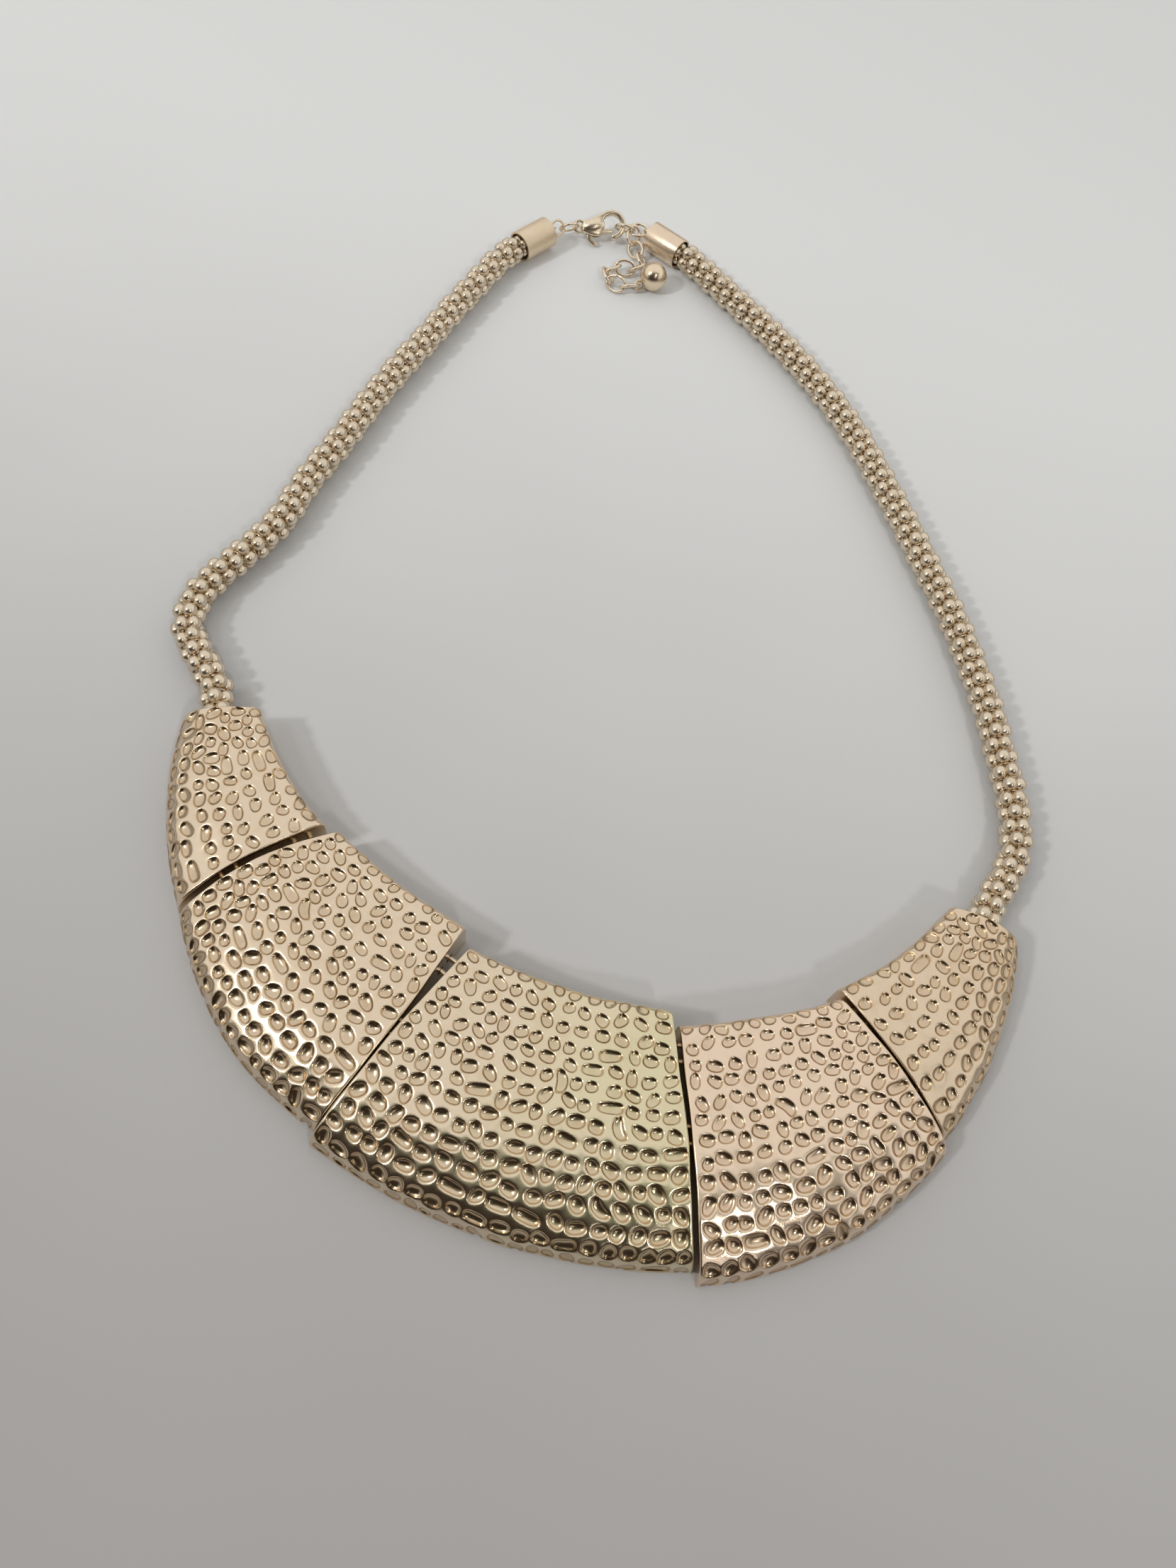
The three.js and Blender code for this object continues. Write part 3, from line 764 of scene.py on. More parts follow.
def sunk_by(sheet, dents, step):
    """How far the dents press each point in, and where it lies: 0 in a dent's middle, 1 at its edge."""
    bowl = np.zeros(sheet.points.shape[:2])
    edge = np.full_like(bowl, 2.0)
    middle = bowl.shape[1] // 2
    tall, wide = round(TOUCH_DOWN / step), round(TOUCH_ALONG / step)
    for dent in dents:
        j, i = sheet.nearest(dent["x"], dent["s"])
        near = slice(max(j - tall, 0), j + tall), slice(max(i - wide, 0), i + wide)
        offset = sheet.points[near] - sheet.points[j, i]
        u = offset @ sheet.along[j, i] - (dent["x"] - sheet.run[j, i])
        v = offset @ sheet.down[j, i] - (dent["s"] - sheet.arc[j, middle])
        cos, sin = math.cos(dent["turn"]), math.sin(dent["turn"])
        a, b = (u * cos + v * sin) / dent["long"], v * cos - u * sin
        b = b + dent["bend"] * ((a * dent["long"]) ** 2 - BEND_MIDDLE)
        b = b / (dent["short"] * (1 + dent["taper"] * a))
        e = (np.abs(a) ** dent["square"] + np.abs(b) ** dent["square"]) ** (1 / dent["square"])
        wall = np.clip((WALL_START - e) / WALL_BAND, 0, 1)
        wall = wall * wall * (3 - 2 * wall)
        cup = 1 - np.minimum(e, 1) ** dent["bowl"]
        pressed = (WALL_SHARE * wall + (1 - WALL_SHARE) * cup) * dent["depth"]
        bowl[near] = np.maximum(bowl[near], pressed)
        edge[near] = np.minimum(edge[near], e)
    skirt = np.clip((1 + SKIRT_REACH - edge) / SKIRT_REACH, 0, 1) ** 2 * SKIRT_DEPTH
    return bowl + skirt, edge


WAVES = 7
WAVE_LENGTH = (7, 18)
WAVE_HEIGHT = 0.0028


def waves(points, seed):
    """Slow unevenness of pressed metal: a few waves, each higher the longer it is."""
    rng = random.Random(seed)
    total = np.zeros(points.shape[:2])
    for _ in range(WAVES):
        heading = rng.uniform(0, math.tau)
        length = rng.uniform(*WAVE_LENGTH)
        along = points[..., 0] * math.cos(heading) + points[..., 1] * math.sin(heading)
        total += np.sin(along * math.tau / length + rng.uniform(0, math.tau)) * WAVE_HEIGHT * length
    return total


# Grid steps of the dented top and of the plain inside. Each step of a wall leaves this share of its
# height, so that the last one lies on the table.
STEP = 0.2
LINER_STEP = 1.2
WALL_STEPS = (0.86, 0.8, 0.7, 0.5, 0.0)


def drop_walls(piece):
    """Extrudes the open edge down to the table in a few steps."""
    open_rims(piece)
    for share in WALL_STEPS:
        bpy.ops.mesh.extrude_region_move()
        bpy.ops.transform.resize(value=(1, 1, share), center_override=(0, 0, 0))
    bpy.ops.object.mode_set(mode="OBJECT")


# Two plain rings tie each plate to the next, through holes in the facing walls.
TIE_LENGTH, TIE_WIDTH, TIE_WIRE, TIE_HEIGHT, TIE_HOLE = 8.0, 3.6, 0.9, 3.6, 1.7
TIE_FROM_NECK = (5, 18)


def tie_places(before, after):
    """Where the ties of one joint lie: level, across the joint."""
    (in_1, out_1), (in_2, out_2) = (
        (before["inner"][1], before["outer"][1]),
        (after["inner"][0], after["outer"][0]),
    )
    run = [out_1[k] - in_1[k] + out_2[k] - in_2[k] for k in range(2)]
    heading = math.degrees(math.atan2(run[0], -run[1]))
    places = []
    for from_neck in TIE_FROM_NECK:
        near = plate_plan(before, 1.0, from_neck / math.dist(in_1, out_1))
        far = plate_plan(after, 0.0, from_neck / math.dist(in_2, out_2))
        middle = [(near[k] + far[k]) / 2 for k in range(2)]
        places.append(ring_place(*middle, TIE_HEIGHT, heading))
    return places


def wire_oval(name, length, width, wire, around=32, sides=10):
    """A ring of round wire bent to an oval, its length along X, measured over the outside."""
    a, b = (length - wire) / 2, (width - wire) / 2
    bpy.ops.mesh.primitive_torus_add(major_segments=around, minor_segments=sides,
                                     major_radius=MM, minor_radius=wire / 2 * MM)
    ring = named(name)
    points = points_of(ring)
    turn = np.arctan2(points[:, 1], points[:, 0])
    out = np.hypot(points[:, 0], points[:, 1]) - 1
    normal = np.stack([b * np.cos(turn), a * np.sin(turn)])
    normal /= np.linalg.norm(normal, axis=0)
    x = a * np.cos(turn) + normal[0] * out
    y = b * np.sin(turn) + normal[1] * out
    move_points(ring, np.stack([x, y, points[:, 2]], axis=1))
    return ring


ties = [tie_places(before, after) for before, after in zip(PLATES, PLATES[1:])]


def tie_hole(where):
    """The room round a tie, as thick as its holes."""
    grow = TIE_HOLE - TIE_WIRE
    hole = wire_oval("hole", TIE_LENGTH + grow, TIE_WIDTH + grow, TIE_HOLE)
    place(hole, where)
    return hole


def hammered_plate(plate, holes):
    """A dented top with walls down to the table, a plain inside, and the holes cut through."""
    sheet = Sheet(plate, STEP)
    pressed, edge = sunk_by(sheet, lay_dents(sheet, plate["seed"], plate["long_dents"]), STEP)
    sunk = pressed + waves(sheet.points, plate["seed"])
    name = "hammered_plate_" + plate["name"]
    piece, (j, i) = sheet.as_mesh(name, sheet.points - sheet.normal * sunk[..., None])
    for attribute, values in (("dent", pressed / FULL_DENT), ("edge", edge)):
        tone = piece.data.attributes.new(attribute, "FLOAT", "POINT")
        tone.data.foreach_set("value", values[j, i].astype(np.float32))
    drop_walls(piece)
    inside = Sheet(plate, LINER_STEP, inset=WALL, sink=WALL)
    liner, _ = inside.as_mesh("liner", inside.points)
    drop_walls(liner)
    piece = joined([piece, liner], name)
    open_rims(piece)
    bpy.ops.mesh.fill(use_beauty=False)
    close_up(piece, merge=0.001)
    for hole in holes:
        cut(piece, hole, solver="MANIFOLD")
    smooth(piece, 60)
    return finished(piece, plate_golds[plate["name"]], "plate_gold", "plate_" + plate["name"])


# ---- Popcorn chains ---------------------------------------------------------------------

# Each route starts inside its end plate and lies on the table up to just short of its cap. Then the
# chain's last rings are tucked into the cap.
CHAIN_HEIGHT = 3.3
CAP_GAP = 0.3
CAP_LEAD = 3
TUCK_DEPTH = 5.0
LEFT_ROUTE = (
    (-67.2, -26.5), (-68.2, -22.5), (-69.4, -18.3), (-70.0, -14.0), (-71.8, -10.7), (-73.6, -7.3),
    (-75.5, -3.6), (-76.4, -0.3), (-74.9, 5.9), (-71.2, 11.3), (-66.2, 17.0), (-60.9, 24.1),
    (-56.2, 34.2), (-50.4, 44.2), (-44.5, 55.4), (-38.1, 66.2), (-32.5, 74.9), (-27.8, 82.7),
    (-22.0, 91.5), (-17.5, 98.4),
)
RIGHT_ROUTE = (
    (61.8, -69.0), (63.5, -65.5), (65.6, -61.6), (67.9, -57.8), (70.6, -54.4), (72.7, -51.6),
    (74.8, -48.0), (75.9, -44.0), (76.7, -36.0), (76.3, -27.8), (76.1, -19.2), (75.0, -10.4),
    (73.6, -1.4), (71.9, 7.0), (69.5, 16.1), (66.7, 26.9), (63.5, 37.9), (59.9, 49.7),
    (55.1, 60.9), (48.8, 72.4), (42.8, 81.5), (36.0, 90.7), (30.6, 98.0),
)

# A cap's mouth is the middle of its open end, and its heading is where its closed end points.
CAP_RADIUS, CAP_BORE, CAP_LENGTH, CAP_DEPTH = 3.35, 2.95, 8.6, 7.6
CAP_LOOP, CAP_LOOP_WIRE = 1.1, 0.6
LEFT_CAP = dict(mouth=(-12.3, 103.7), heading=39.8, loop_lean=-45)
RIGHT_CAP = dict(mouth=(25.3, 103.9), heading=137.8, loop_lean=60)

# Rings of five beads, each ring turned by half a bead from its neighbours. A band of solder joins
# the beads of a ring, and a thinner one lies between two rings: place, radius and thickness of each.
BEADS = 5
BEAD_RADIUS = 1.4
BEAD_HALF_LENGTH = 1.5
BEAD_REACH = 1.86
RING_PITCH = 2.86
SOLDER = ((0, 1.9, 0.5), (RING_PITCH / 2, 1.8, 0.32))
# A dark drum inside each ring stands for the shade in the chain's hollow middle.
CORE_RADIUS, CORE_OVERLAP = 1.55, 0.5

# The tucked rings are squeezed by this share, which starts a little before the cap. The beads of each
# ring stray by a few degrees.
SQUEEZE = 0.2
SQUEEZE_LEAD, SQUEEZE_RUN = 1.6, 1.2
ROLL_STRAY = 3
HALF_STRIDE = 0.2


def along_cap(cap, distance, height=CAP_RADIUS):
    """A place on the cap's axis, this far in from its mouth."""
    return Vector((*cap["mouth"], height)) + direction(cap["heading"]) * distance


def smooth_line(knots, per_span=24):
    """Points of a smooth curve through the knots that doesn't swing out at uneven gaps."""
    knots = [2 * knots[0] - knots[1], *knots, 2 * knots[-1] - knots[-2]]
    points = []
    for k in range(1, len(knots) - 2):
        near = knots[k - 1:k + 3]
        t = np.cumsum([0] + [(last - first).length ** 0.5 for first, last in zip(near, near[1:])])

        def between(first, last, start, end, at):
            return first * ((end - at) / (end - start)) + last * ((at - start) / (end - start))

        for at in np.linspace(t[1], t[2], per_span, endpoint=False):
            a, b, c = (between(near[i], near[i + 1], t[i], t[i + 1], at) for i in range(3))
            a, b = between(a, b, t[0], t[2], at), between(b, c, t[1], t[3], at)
            points.append(between(a, b, t[1], t[2], at))
    return np.array([*points, knots[-2]])


def bead_ring():
    """Five beads on a thin ring round the X axis."""
    bpy.ops.mesh.primitive_cube_add(size=2 * BEAD_RADIUS * MM)
    bead = named("bead")
    open_all(bead)
    bpy.ops.mesh.subdivide(number_cuts=2)
    bpy.ops.object.mode_set(mode="OBJECT")
    points = points_of(bead)
    points *= BEAD_RADIUS / np.linalg.norm(points, axis=1, keepdims=True)
    move_points(bead, points * (BEAD_HALF_LENGTH / BEAD_RADIUS, 1, 1))
    parts = []
    for k in range(BEADS):
        turn = Matrix.Rotation(math.tau * k / BEADS, 4, "X")
        parts.append(copy_of(bead, "bead"))
        place(parts[-1], turn @ Matrix.Translation((0, 0, BEAD_REACH)))
    bpy.data.objects.remove(bead)
    for x, radius, wire in SOLDER:
        size = 2 * radius + wire
        band = wire_oval("band", size, size, wire, around=20, sides=5)
        place(band, Matrix.Translation((x, 0, 0)) @ Matrix.Rotation(math.pi / 2, 4, "Y"))
        parts.append(band)
    return joined(parts, "bead_ring")


def on_line(line, run, at):
    """The point at this distance along a line."""
    return Vector([np.interp(at, run, line[:, axis]) for axis in range(3)])


def popcorn_chain(side, route, cap, roll, twist):
    """Strings rings along the route, and squeezes the last ones into the cap.

    Roll turns every ring about the chain's line, and twist turns each by where it is along it.
    """
    knots = [Vector((*knot, CHAIN_HEIGHT)) for knot in route]
    line = smooth_line([*knots, along_cap(cap, -CAP_LEAD), along_cap(cap, -CAP_GAP)])
    line = np.concatenate([line, [along_cap(cap, TUCK_DEPTH)]])
    run = np.concatenate([[0], np.cumsum(np.linalg.norm(np.diff(line, axis=0), axis=1))])
    tucked = run[-1] - TUCK_DEPTH - CAP_GAP
    ring = bead_ring()
    drum = rod("drum", CORE_RADIUS, RING_PITCH + CORE_OVERLAP, 15, ALONG_X)
    rings, drums = [], []
    rng = random.Random(side)
    strung = run[-1] - BEAD_HALF_LENGTH
    count = round((strung - BEAD_HALF_LENGTH) / RING_PITCH) + 1
    for k, at in enumerate(np.linspace(BEAD_HALF_LENGTH, strung, count)):
        behind, ahead = on_line(line, run, at - HALF_STRIDE), on_line(line, run, at + HALF_STRIDE)
        forward = (ahead - behind).normalized()
        sideways = Vector((0, 0, 1)).cross(forward).normalized()
        up = forward.cross(sideways)
        squeeze = 1 - SQUEEZE * min(max((at - tucked + SQUEEZE_LEAD) / SQUEEZE_RUN, 0), 1)
        axes = Matrix((forward, sideways * squeeze, up * squeeze)).transposed().to_4x4()
        turn = roll + (k % 2) * 180 / BEADS + twist(at) + rng.uniform(-ROLL_STRAY, ROLL_STRAY)
        turned = Matrix.Rotation(math.radians(turn), 4, "X")
        where = Matrix.Translation((behind + ahead) / 2) @ axes @ turned
        for source, group in ((ring, rings), (drum, drums)):
            group.append(copy_of(source, source.name))
            place(group[-1], where)
    for source in (ring, drum):
        bpy.data.objects.remove(source)
    for group, name, material in ((rings, "beads", bead_gold), (drums, "core", painted_shade_core)):
        piece = joined(group, f"popcorn_{name}_{side}")
        close_up(piece, merge=0.0001)
        smooth(piece, 50)
        finished(piece, material, "chain_gold", "chain_" + side)


def untwisting(at):
    """The left chain leaves its plate twisted by 40 degrees, and runs straight 45 mm further on."""
    return 40 * max(1 - at / 45, 0)


popcorn_chain("left", LEFT_ROUTE, LEFT_CAP, 0, untwisting)
popcorn_chain("right", RIGHT_ROUTE, RIGHT_CAP, 18, lambda at: 0)

DOOR_RADIUS, DOOR_LENGTH = 3.6, 8.5


def doorway(route):
    """The room that a chain's end needs in the wall of its plate."""
    door = rod("doorway", DOOR_RADIUS, DOOR_LENGTH, 32, ALONG_X)
    first, last = (Vector((*knot, CHAIN_HEIGHT)) for knot in (route[0], route[2]))
    run = last - first
    place(door, ring_place(*((first + last) / 2), math.degrees(math.atan2(run.y, run.x))))
    return door


for k, plate in enumerate(PLATES):
    joints = ties[max(k - 1, 0):k + 1] if k else ties[:1]
    holes = [tie_hole(where) for joint in joints for where in joint]
    if k == 0:
        holes.append(doorway(LEFT_ROUTE))
    if k == len(PLATES) - 1:
        holes.append(doorway(RIGHT_ROUTE))
    hammered_plate(plate, holes)

# ---- Wire rings, caps, clasp and ball ------------------------------------------------------

for k, where in enumerate(where for joint in ties for where in joint):
    tie = wire_oval(f"tie_wire_{k + 1}", TIE_LENGTH, TIE_WIDTH, TIE_WIRE)
    place(tie, where)
    smooth(tie)
    finished(tie, wire_gold, "wire_gold", f"tie_ring_{k + 1}")


CAP_FACE_MARGIN, CAP_FACE_DIP, CAP_EDGE_ROUND = 0.9, 0.12, 0.22
COLLAR_RADIUS, COLLAR_LENGTH, COLLAR_ROUND = 0.7, 0.5, 0.12
LOOP_SUNK, COLLAR_OUT = 0.1, 0.1


def end_cap(side, cap, material):
    """A turned cup over the chain's end, with a wire loop on its closed end."""
    name = "end_cap_" + side
    cup = rod(name, CAP_RADIUS, CAP_LENGTH, 48, middle=(0, 0, CAP_LENGTH / 2))
    sink_faces(cup, lambda middle, normal: normal.z < -0.9, CAP_RADIUS - CAP_BORE, CAP_DEPTH)
    sink_faces(
        cup,
        lambda middle, normal: normal.z > 0.9 and middle.z > CAP_LENGTH - 0.1,
        CAP_FACE_MARGIN,
        -CAP_FACE_DIP,
    )
    round_edges(cup, CAP_EDGE_ROUND, 4, angle=40)
    place(cup, Matrix.Rotation(math.pi / 2, 4, "Y"))
    size = 2 * CAP_LOOP + CAP_LOOP_WIRE
    loop = wire_oval("loop", size, size, CAP_LOOP_WIRE, around=28)
    lean = Matrix.Rotation(math.radians(cap["loop_lean"]), 4, "X")
    place(loop, Matrix.Translation((CAP_LENGTH + CAP_LOOP - LOOP_SUNK, 0, 0)) @ lean)
    collar = rod("collar", COLLAR_RADIUS, COLLAR_LENGTH, 20, ALONG_X, (CAP_LENGTH + COLLAR_OUT, 0, 0))
    round_edges(collar, COLLAR_ROUND, 3)
    cup = joined([cup, loop, collar], name)
    place(cup, ring_place(*cap["mouth"], CAP_RADIUS, cap["heading"]))
    close_up(cup)
    smooth(cup)
    finished(cup, material, "cap_gold", "cap_" + side)


end_cap("left", LEFT_CAP, cap_gold_satin)
end_cap("right", RIGHT_CAP, cap_gold_bright)


SEAM_DEPTH = 0.22


def wire_link(name, length, width, wire, where, seam):
    """A link of round wire, with the fine seam where its ends meet, this many degrees round it."""
    link = wire_oval(name, length, width, wire, around=40, sides=12)
    points = points_of(link)
    turn = np.degrees(np.arctan2(points[:, 1] / width, points[:, 0] / length))
    from_seam = np.abs((turn - seam + 180) % 360 - 180)
    x = np.cos(np.radians(turn)) * (length - wire) / 2
    y = np.sin(np.radians(turn)) * (width - wire) / 2
    middle = np.stack([x, y, 0 * turn], axis=1)
    points = middle + (points - middle) * (1 - SEAM_DEPTH * (from_seam < 1))[:, None]
    move_points(link, points)
    place(link, where)
    smooth(link, 50)
    return link


# Name, outer size, wire, and then where it lies: x, y, z, heading, lean and pitch.
JUMP_RINGS = (
    ("jump_ring_1", 3.8, 0.6, -3.2, 110.7, 3.35, 20, 53, 5),
    ("jump_ring_2", 5.0, 0.7, -0.45, 111.6, 2.95, 20, -56, 12),
)
for name, size, wire, *where in JUMP_RINGS:
    ring = wire_link("open_" + name, size, size, wire, ring_place(*where), 135)
    finished(ring, wire_gold, "wire_gold", name)

# Extender chain. The held links hang from the cap and the claw, and are given as x, y, z, heading,
# lean and pitch. Each free link lies on the table and grips the one before it.
LINK_LENGTH, LINK_WIDTH, LINK_WIRE, LINK_LEAN, LINK_GRIP = 5.2, 4.0, 0.7, 45, 1.3
HELD_LINKS = (
    (16.0, 111.3, 3.35, -14, 13, -5),
    (12.7, 111.6, 3.4, -19, -61, -8),
    (14.75, 110.0, 2.8, -104, -28, 25),
)
FREE_HEADINGS = (-62, -80, -145, -195, -150, -80, -30, 10)
FREE_HEIGHT = 1.55
BALL_RADIUS, BALL_HEADING, BALL_EYE, BALL_EYE_WIRE = 3.1, 20, 0.95, 0.6
BALL_POLE, BALL_POLE_MARGIN, BALL_POLE_PUSH = 0.985, 0.1, -0.2


def link_places():
    """Where the links lie, each as x, y, z, heading, lean and pitch."""
    places = list(HELD_LINKS)
    for k, heading in enumerate(FREE_HEADINGS):
        x, y, _, before = places[-1][:4]
        turn = math.cos(math.radians(heading - before))
        half = (LINK_LENGTH - LINK_WIRE) / 2
        way = (direction(before) + direction(heading)) * ((LINK_GRIP + half * turn) / (1 + turn))
        lean = -LINK_LEAN if k % 2 else LINK_LEAN
        places.append((x + way.x, y + way.y, FREE_HEIGHT, heading, lean, 0))
    return places


for k, where in enumerate(link_places()):
    name = f"wire_link_{k + 1}"
    link = wire_link(name, LINK_LENGTH, LINK_WIDTH, LINK_WIRE, ring_place(*where), 90)
    finished(link, wire_gold, "wire_gold", f"extender_link_{k + 1}")


def end_ball():
    """A bright ball with a small dimple and an eye, lying beyond the last link."""
    x, y, _, heading, lean, _ = link_places()[-1]
    reach = BALL_RADIUS + BALL_EYE - BALL_EYE_WIRE / 2
    drop = BALL_RADIUS - FREE_HEIGHT
    dip = -math.degrees(math.asin(drop / reach))
    hook = Vector((x, y, FREE_HEIGHT)) + direction(heading) * ((LINK_LENGTH - LINK_WIRE) / 2)
    bpy.ops.mesh.primitive_uv_sphere_add(segments=48, ring_count=32, radius=BALL_RADIUS * MM)
    ball = named("bright_ball")
    sink_faces(ball, lambda middle, normal: normal.z > BALL_POLE, BALL_POLE_MARGIN, BALL_POLE_PUSH)
    place(ball, Matrix.Rotation(-math.pi / 2, 4, "Y"))
    size = 2 * BALL_EYE + BALL_EYE_WIRE
    eye = wire_oval("eye", size, size, BALL_EYE_WIRE, around=28)
    place(eye, Matrix.Translation((-reach, 0, 0)) @ Matrix.Rotation(math.radians(-lean), 4, "X"))
    ball = joined([ball, eye], "bright_ball")
    from_eye = Matrix.Translation((reach, 0, 0))
    place(ball, Matrix.Translation(hook) @ ring_place(0, 0, 0, BALL_HEADING, 0, dip) @ from_eye)
    close_up(ball)
    smooth(ball, 40)
    finished(ball, ball_gold, "clasp_gold", "end_ball")


end_ball()

# Lobster clasp, in its own frame: x from its eye to its nose, y towards the claw.
CLASP_PLACE = ring_place(2.0, 112.1, 2.9, -5, 38)
CLASP_THICK = 2.0
EYE_OUTER, EYE_INNER = 1.6, 0.9
CLAW = dict(x=7.5, y=1.0, outer=3.3, inner=2.1)
PIVOT = dict(x=2.9, y=-0.5, pin=0.4, bore=0.46)
LEVER_THICK, LEVER_SLOT = 0.8, 1.2


def bezier(start, *curves, steps=8):
    """Points along curves, each given by two handles and an end, as (x, y) pairs."""
    points = [start]
    for handles in curves:
        knots = np.array([points[-1], *handles])
        for t in np.linspace(0, 1, steps + 1)[1:]:
            weights = np.array([(1 - t) ** 3, 3 * t * (1 - t) ** 2, 3 * t * t * (1 - t), t**3])
            points.append(tuple(weights @ knots))
    return points


def arc(x, y, radius, first, last, steps):
    """Points round part of a circle, from one angle to another in degrees."""
    turns = [math.radians(turn) for turn in np.linspace(first, last, steps + 1)]
    return [(x + radius * math.cos(turn), y + radius * math.sin(turn)) for turn in turns]


def slab(name, outline, thick, rounding):
    """An outline filled, extruded and rounded, with its middle at z = 0."""
    bpy.ops.mesh.primitive_circle_add(vertices=len(outline), radius=MM, fill_type="NGON")
    piece = named(name)
    move_points(piece, [(x, y, -thick / 2) for x, y in outline])
    open_all(piece)
    bpy.ops.mesh.extrude_region_move(TRANSFORM_OT_translate={"value": (0, 0, thick * MM)})
    bpy.ops.object.mode_set(mode="OBJECT")
    close_up(piece)
    if rounding:
        round_edges(piece, rounding, 4, angle=50)
    return piece


def pin_at(x, y, radius, height):
    return rod("pin", radius, height, 24, middle=(x, y, 0))


# The claw's arc runs from its back to its tip, in degrees.
CLAW_BACK, CLAW_TIP, CLAW_THROAT = 132, -75, 200
CLAW_ROUND, PIN_ROUND, PIN_PROUD = 0.55, 0.12, 0.1
SLOT_OUTLINE = ((1.7, 0.5), (3.0, 0.5), (6.8, 2.4), (6.8, -3.0), (1.7, -3.0))
CHEEKS = dict(middle=(3.2, 0.3, 0), turn=14, half_sizes=(3.1, 1.75, 1.35))


def clasp_body():
    """The claw and cheeks in one, with the slot that the lever swings in and the eye."""
    x, y, outer, inner = CLAW.values()
    tip = math.radians(CLAW_TIP)
    middle = (outer + inner) / 2
    tip_x, tip_y = x + middle * math.cos(tip), y + middle * math.sin(tip)
    outline = bezier((0.7, 1.15), ((1.9, 1.5), (3.2, 2.2), (4.4, 3.0)))
    outline += arc(x, y, outer, CLAW_BACK, CLAW_TIP, 32)
    outline += arc(tip_x, tip_y, (outer - inner) / 2, CLAW_TIP, CLAW_TIP - 180, 8)[1:]
    outline += arc(x, y, inner, CLAW_TIP, CLAW_THROAT, 28)[1:]
    outline += bezier((5.0, -1.7), ((3.4, -2.2), (1.6, -1.5), (0.7, -1.1)))
    body = slab("clasp_claw", outline[::-1], CLASP_THICK, CLAW_ROUND)
    lever_room = slab("slot", SLOT_OUTLINE, LEVER_SLOT, 0)
    bpy.ops.mesh.primitive_uv_sphere_add(segments=40, ring_count=24, radius=MM)
    cheeks = named("cheeks")
    turn = Matrix.Rotation(math.radians(CHEEKS["turn"]), 4, "Z")
    swell = Matrix.Diagonal((*CHEEKS["half_sizes"], 1))
    place(cheeks, Matrix.Translation(CHEEKS["middle"]) @ turn @ swell)
    apply_modifier(body, "BOOLEAN", object=cheeks, operation="UNION", solver="EXACT")
    bpy.data.objects.remove(cheeks)
    cut(body, lever_room)
    eye = wire_oval("eye", 2 * EYE_OUTER, 2 * EYE_OUTER, EYE_OUTER - EYE_INNER, around=36, sides=12)
    pin = pin_at(PIVOT["x"], PIVOT["y"], PIVOT["pin"], CLASP_THICK + PIN_PROUD)
    round_edges(pin, PIN_ROUND, 3)
    body = joined([body, eye, pin], "clasp_claw")
    place(body, CLASP_PLACE)
    close_up(body)
    smooth(body, 40)
    finished(body, clasp_gold, "clasp_gold", "clasp_body")


LEVER_START = (3.0, 0.15)
LEVER_CURVES = (
    ((4.6, 0.1), (6.2, 0.0), (7.5, 0.1)),
    ((8.0, 0.05), (8.0, -0.75), (7.4, -0.8)),
    ((6.2, -1.3), (4.8, -1.6), (3.8, -1.3)),
    ((3.0, -1.5), (2.8, -2.1), (3.3, -2.5)),
    ((3.6, -2.7), (4.0, -2.9), (4.3, -3.1)),
    ((4.8, -3.5), (4.4, -4.2), (3.7, -3.9)),
    ((2.4, -3.3), (1.6, -2.6), (1.95, -1.2)),
    ((1.95, -0.3), (2.3, 0.15), (3.0, 0.15)),
)
LEVER_ROUND = 0.2


def clasp_lever():
    """One arm shuts the claw, and the other is the thumb tab outside the body."""
    outline = bezier(LEVER_START, *LEVER_CURVES)[:-1]
    lever = slab("thumb_lever", outline[::-1], LEVER_THICK, LEVER_ROUND)
    cut(lever, pin_at(PIVOT["x"], PIVOT["y"], PIVOT["bore"], 2 * LEVER_THICK))
    place(lever, CLASP_PLACE)
    close_up(lever)
    smooth(lever, 40)
    finished(lever, clasp_gold, "clasp_gold", "clasp_lever", body="clasp_lever")


clasp_body()
clasp_lever()

# ---- Stage and light ------------------------------------------------------------------

# The floor's colour fades from painted shade at its near side to painted light at its far side, a
# little askew and with a loose wobble.
FLOOR_SIZE = 3
FLOOR_NEAR_SHADE = (0.33, 0.324, 0.326)
FLOOR_FAR_LIGHT = (0.70, 0.717, 0.732)
FADE_FROM, FADE_TO = -190, 165
FADE_SKEW, FADE_STRAY = 0.35, 30


def set_floor():
    """A pale table top with a fine weave, with painted shade towards the near side and painted light
    towards the far side.
    """
    bpy.ops.mesh.primitive_plane_add(size=FLOOR_SIZE)
    floor = named("floor")
    material = bpy.data.materials.new("pale_cloth")
    material.use_nodes = True
    nodes = Nodes(material.node_tree)
    coords = nodes.add("ShaderNodeTexCoord", "Object")
    weave = nodes.noise(coords, 0.5)
    shade_wobble = nodes.noise(coords, 60, detail=1)
    bump = nodes.add("ShaderNodeBump", Strength=0.4, Distance=0.05 * MM, Height=weave)
    x, y = (part * (1 / MM) for part in nodes.axes(coords, 2))
    # Painted light and shade: darker at the near side, brighter at the far side.
    far = nodes.ramp(y + x * FADE_SKEW + shade_wobble * FADE_STRAY, FADE_FROM, FADE_TO)
    colour = nodes.mix(far, FLOOR_NEAR_SHADE, FLOOR_FAR_LIGHT)
    shader = nodes.add("ShaderNodeBsdfPrincipled", Base_Color=colour, Roughness=0.8, Normal=bump)
    nodes.add("ShaderNodeOutputMaterial", Surface=shader)
    floor.data.materials.append(material)


set_floor()

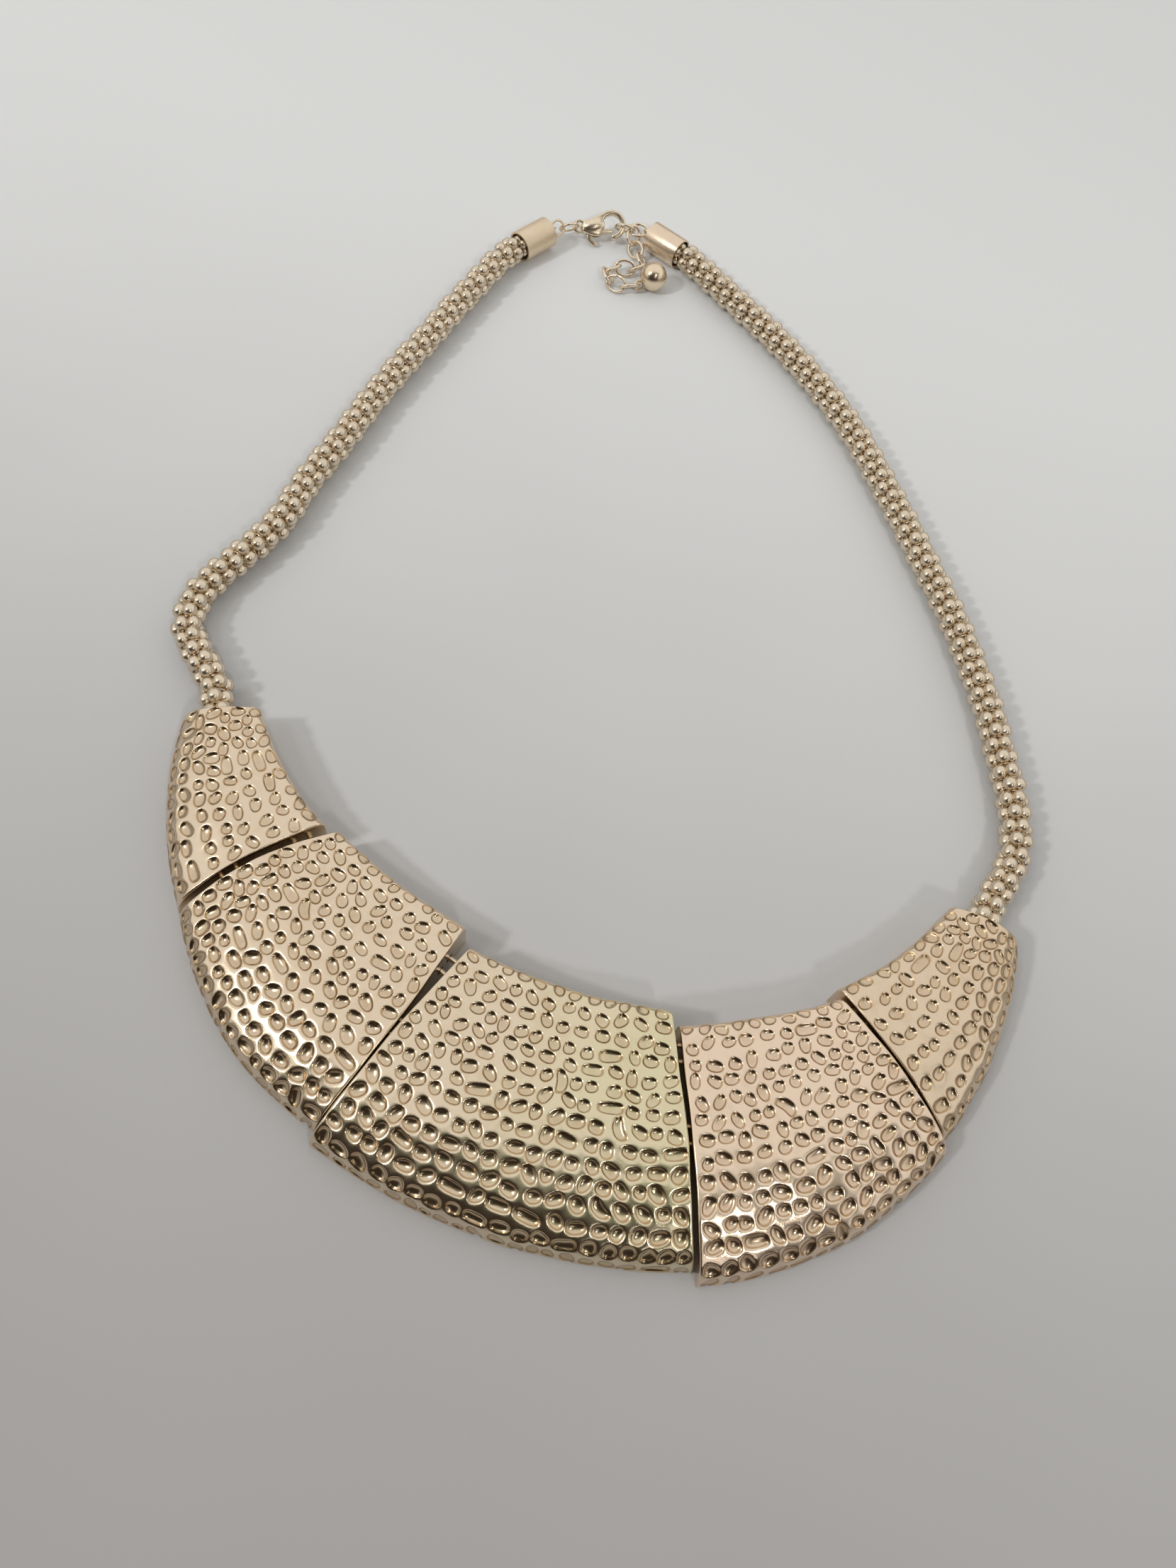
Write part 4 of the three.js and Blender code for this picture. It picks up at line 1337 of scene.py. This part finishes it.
# The lamps: name, direction, side in metres, power in watts, colour, and whether the metal shows it.
# The key and second lamps light the table and cast the shadows, and the glints are what the metal
# shows as white patches.
KEY_WAY = (-0.72, -0.18, 0.67)
SECOND_WAY = (0.18, -0.69, 0.70)
COOL_WHITE = (1.0, 0.98, 0.95)
WARM_WHITE = (1.0, 0.97, 0.93)
LAMPS = (
    ("key", KEY_WAY, 0.14, 5.4, COOL_WHITE, False),
    ("key_glint", KEY_WAY, 0.12, 1.2, COOL_WHITE, True),
    ("second", SECOND_WAY, 0.13, 2.6, WARM_WHITE, False),
    ("second_glint", SECOND_WAY, 0.12, 1.0, WARM_WHITE, True),
    ("left_glint", (-0.54, -0.145, 0.829), 0.24, 1.7, COOL_WHITE, True),
    ("front_glint", (0.272, -0.472, 0.839), 0.16, 0.9, WARM_WHITE, True),
)
LAMP_AIM = (0, -30, 5)
LAMP_DISTANCE = 1.5


def soft_light(name, way, size, power, colour, shows):
    """A square soft box that faces the necklace from this direction."""
    data = bpy.data.lights.new(name, "AREA")
    data.shape = "SQUARE"
    data.size = size
    data.energy = power
    data.color = colour
    lamp = bpy.data.objects.new(name, data)
    bpy.context.scene.collection.objects.link(lamp)
    way = Vector(way).normalized()
    lamp.location = Vector(LAMP_AIM) * MM + way * LAMP_DISTANCE
    lamp.rotation_euler = way.to_track_quat("Z", "Y").to_euler()
    lamp.visible_glossy = shows


for lamp in LAMPS:
    soft_light(*lamp)

# The room's colours by height, and those of the figure, which is lighter at its top.
ROOM_STRENGTH = 0.72
CEILING = (1.22, 1.19, 1.15)
WALLS = (0.36, 0.33, 0.27)
TABLE_LINE = (0.55, 0.54, 0.52)
FIGURE = (0.055, 0.04, 0.03)
FIGURE_TOP = (0.32, 0.33, 0.25)


def set_room():
    """A bright ceiling and dimmer walls, and the dark shape of whoever looks down on the table."""
    world = bpy.data.worlds.new("room")
    world.use_nodes = True
    bpy.context.scene.world = world
    nodes = Nodes(world.node_tree)
    way = nodes.add("ShaderNodeTexCoord", "Generated")
    x, y, z = nodes.axes(way, 3)
    tip = x.math("ARCTAN2", y * -1.0, z) * (180 / math.pi)
    tall = nodes.ramp(tip, 6, 18) * (1 - nodes.ramp(tip, 76, 90))
    wide = nodes.ramp(x, -0.95, -0.7) * (1 - nodes.ramp(x, 0.4, 0.75))
    figure = nodes.mix(nodes.ramp(tip, 18, 30), FIGURE_TOP, FIGURE)
    room = nodes.mix(nodes.ramp(z, 0.12, 0.4), WALLS, CEILING)
    room = nodes.mix(nodes.ramp(z, 0.0, 0.1), TABLE_LINE, room)
    tone = nodes.mix(tall * wide, room, figure)
    light = nodes.add("ShaderNodeBackground", Color=tone, Strength=ROOM_STRENGTH)
    nodes.add("ShaderNodeOutputWorld", Surface=light)


set_room()
bpy.context.scene.view_settings.view_transform = "Standard"
